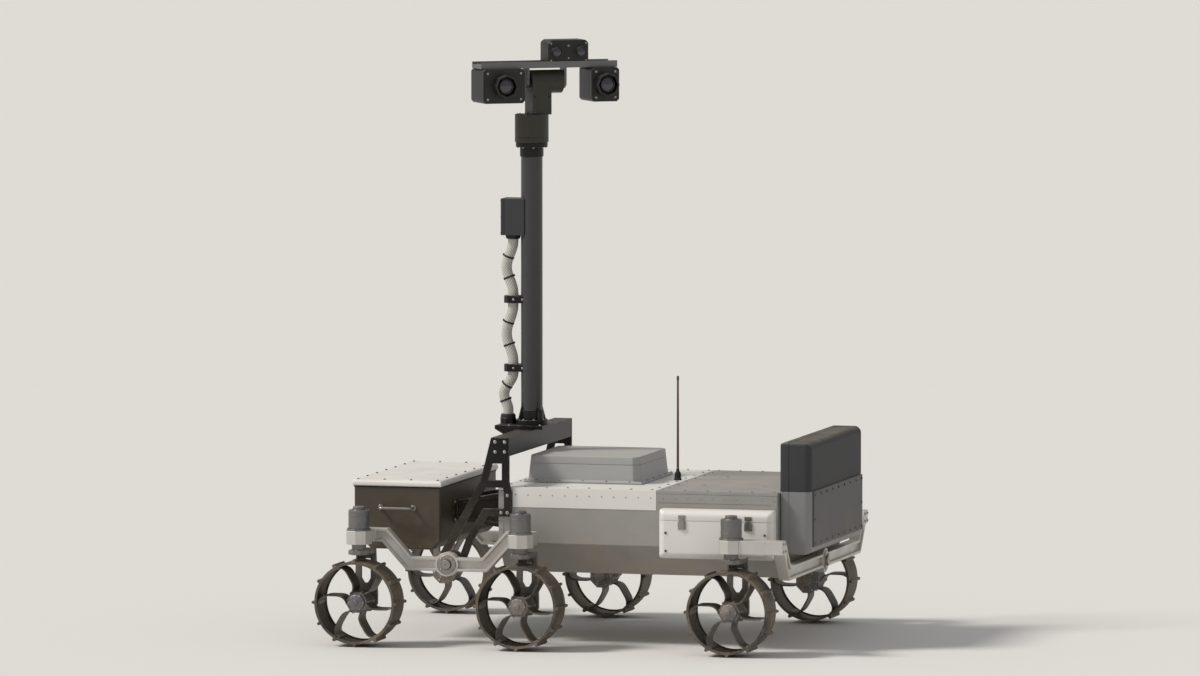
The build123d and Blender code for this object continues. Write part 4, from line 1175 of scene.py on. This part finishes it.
# %% Screws of the pan and tilt unit
tilt_axis = 1.8003
small = bmesh.new()
pan_spots = [spun(d) @ Vector((0.047, 0, 1.6943)) for d in (215, 245, 270, 295, 325)]
screws(small, pan_spots, up, 0.002, 0.002, head)
for y, way in ((-0.01, -1), (0.1, 1)):
    tilt_face = head @ facing((0, y, tilt_axis), (0, way, 0))
    screws(small, ring_of(0.032, 8, 0, 22.5), up, 0.0016, 0.0012, tilt_face)
for way in (-1, 1):
    spots = [(0.038 * way, y, z) for y in (-0.002, 0.047) for z in (1.702, 1.752)]
    screws(small, spots, way * forward, 0.0018, 0.0016, head)
settle(small, "pan_unit_screws", "steel", "black_oxide_screw", "head_pan")
print("pan screws:", len(pan_spots))

# %% [markdown]
# A lens is a turned ring with a low dome of glass in it. The two cameras under the bench differ
# in width, and each has cooling ribs on its back. The one on top looks with a pair of small
# lenses.

# %% Fronts, lenses and screws of the cameras
bench_top = 1.8583
camera_z, camera_face, hood_end, lens_radius = 1.7903, 0.065, 0.085, 0.0242
cameras = [(0.048, 0.232), (0.072, -0.118)]  # half width, and y of the lens
rib_count, rib_pitch = 7, 0.012
top_y, top_z, top_face, top_lens_radius, top_hood_end = 0.113, 1.8973, 0.04, 0.017, 0.052
shape, small, glass = bmesh.new(), bmesh.new(), bmesh.new()


def lens(y, z, radius, face):
    """A lens ring with its dark glass, in a face of the head that looks along x."""
    here = head @ facing((face, y, z), forward)
    ring = [(radius, -0.012), (radius + 0.0006, -0.001), (radius, 0.002), (0.84 * radius, 0.0028),
            (0.8 * radius, 0.0), (0.8 * radius, -0.012)]
    turn(shape, ring, here, steps=40, closed=True)
    dome = [(0, 0.0026), (0.3 * radius, 0.0023), (0.58 * radius, 0.0014), (0.81 * radius, 0.0002),
            (0.81 * radius, -0.002), (0, -0.002)]
    turn(glass, dome, here, steps=40)


front = camera_face + 0.0018
for half, y in cameras:
    block(shape, (camera_face - 0.001, y - half + 0.009, camera_z - 0.048),
          (front, y + half - 0.009, camera_z + 0.048), 0.0006, head)
    corners = [(front, y + a * (half - 0.015), camera_z + b * 0.042) for a in (-1, 1) for b in (-1, 1)]
    screws(small, corners, forward, 0.0024, 0.002, head)
    lens(y, camera_z, lens_radius, hood_end)
    for rib in range(rib_count):
        z, reach = camera_z + rib_pitch * (rib - (rib_count - 1) / 2), half - 0.012
        block(shape, (-0.058, y - reach, z - 0.002), (-0.054, y + reach, z + 0.002), 0.0006, head)
    bench_spots = [(a, y + b * (half - 0.014), bench_top) for a in (-0.028, 0.028) for b in (-1, 1)]
    screws(small, bench_spots, up, 0.0024, 0.002, head)
for way in (-1, 1):
    lens(top_y + 0.042 * way, top_z, top_lens_radius, top_hood_end)
    spots = [(top_face, top_y + a, top_z + b * way) for a, b in ((-0.06, 0.028), (0.06, 0.028), (0, 0.02))]
    screws(small, spots, forward, 0.002, 0.0018, head)
for y, way in ((-0.023, -1), (0.113, 1)):
    spots = [(x, y, z) for x in (-0.013, 0.013) for z in (1.79, 1.832)]
    screws(small, spots, (0, way, 0), 0.002, 0.0018, head)
settle(shape, "camera_fronts", "camera_black", body="head_tilt")
settle(glass, "camera_glass", "camera_black", "coated_lens_glass", "head_tilt")
settle(small, "camera_screws", "steel", "zinc_plated_screw", "head_tilt")
print("cameras:", len(cameras), "and one on top")

# %% Finish
look_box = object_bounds()
past = [[round(1000 * (a - b), 1) for a, b in zip(p, q)] for p, q in zip(look_box, cad_box)]
print("size difference, mm:", past)
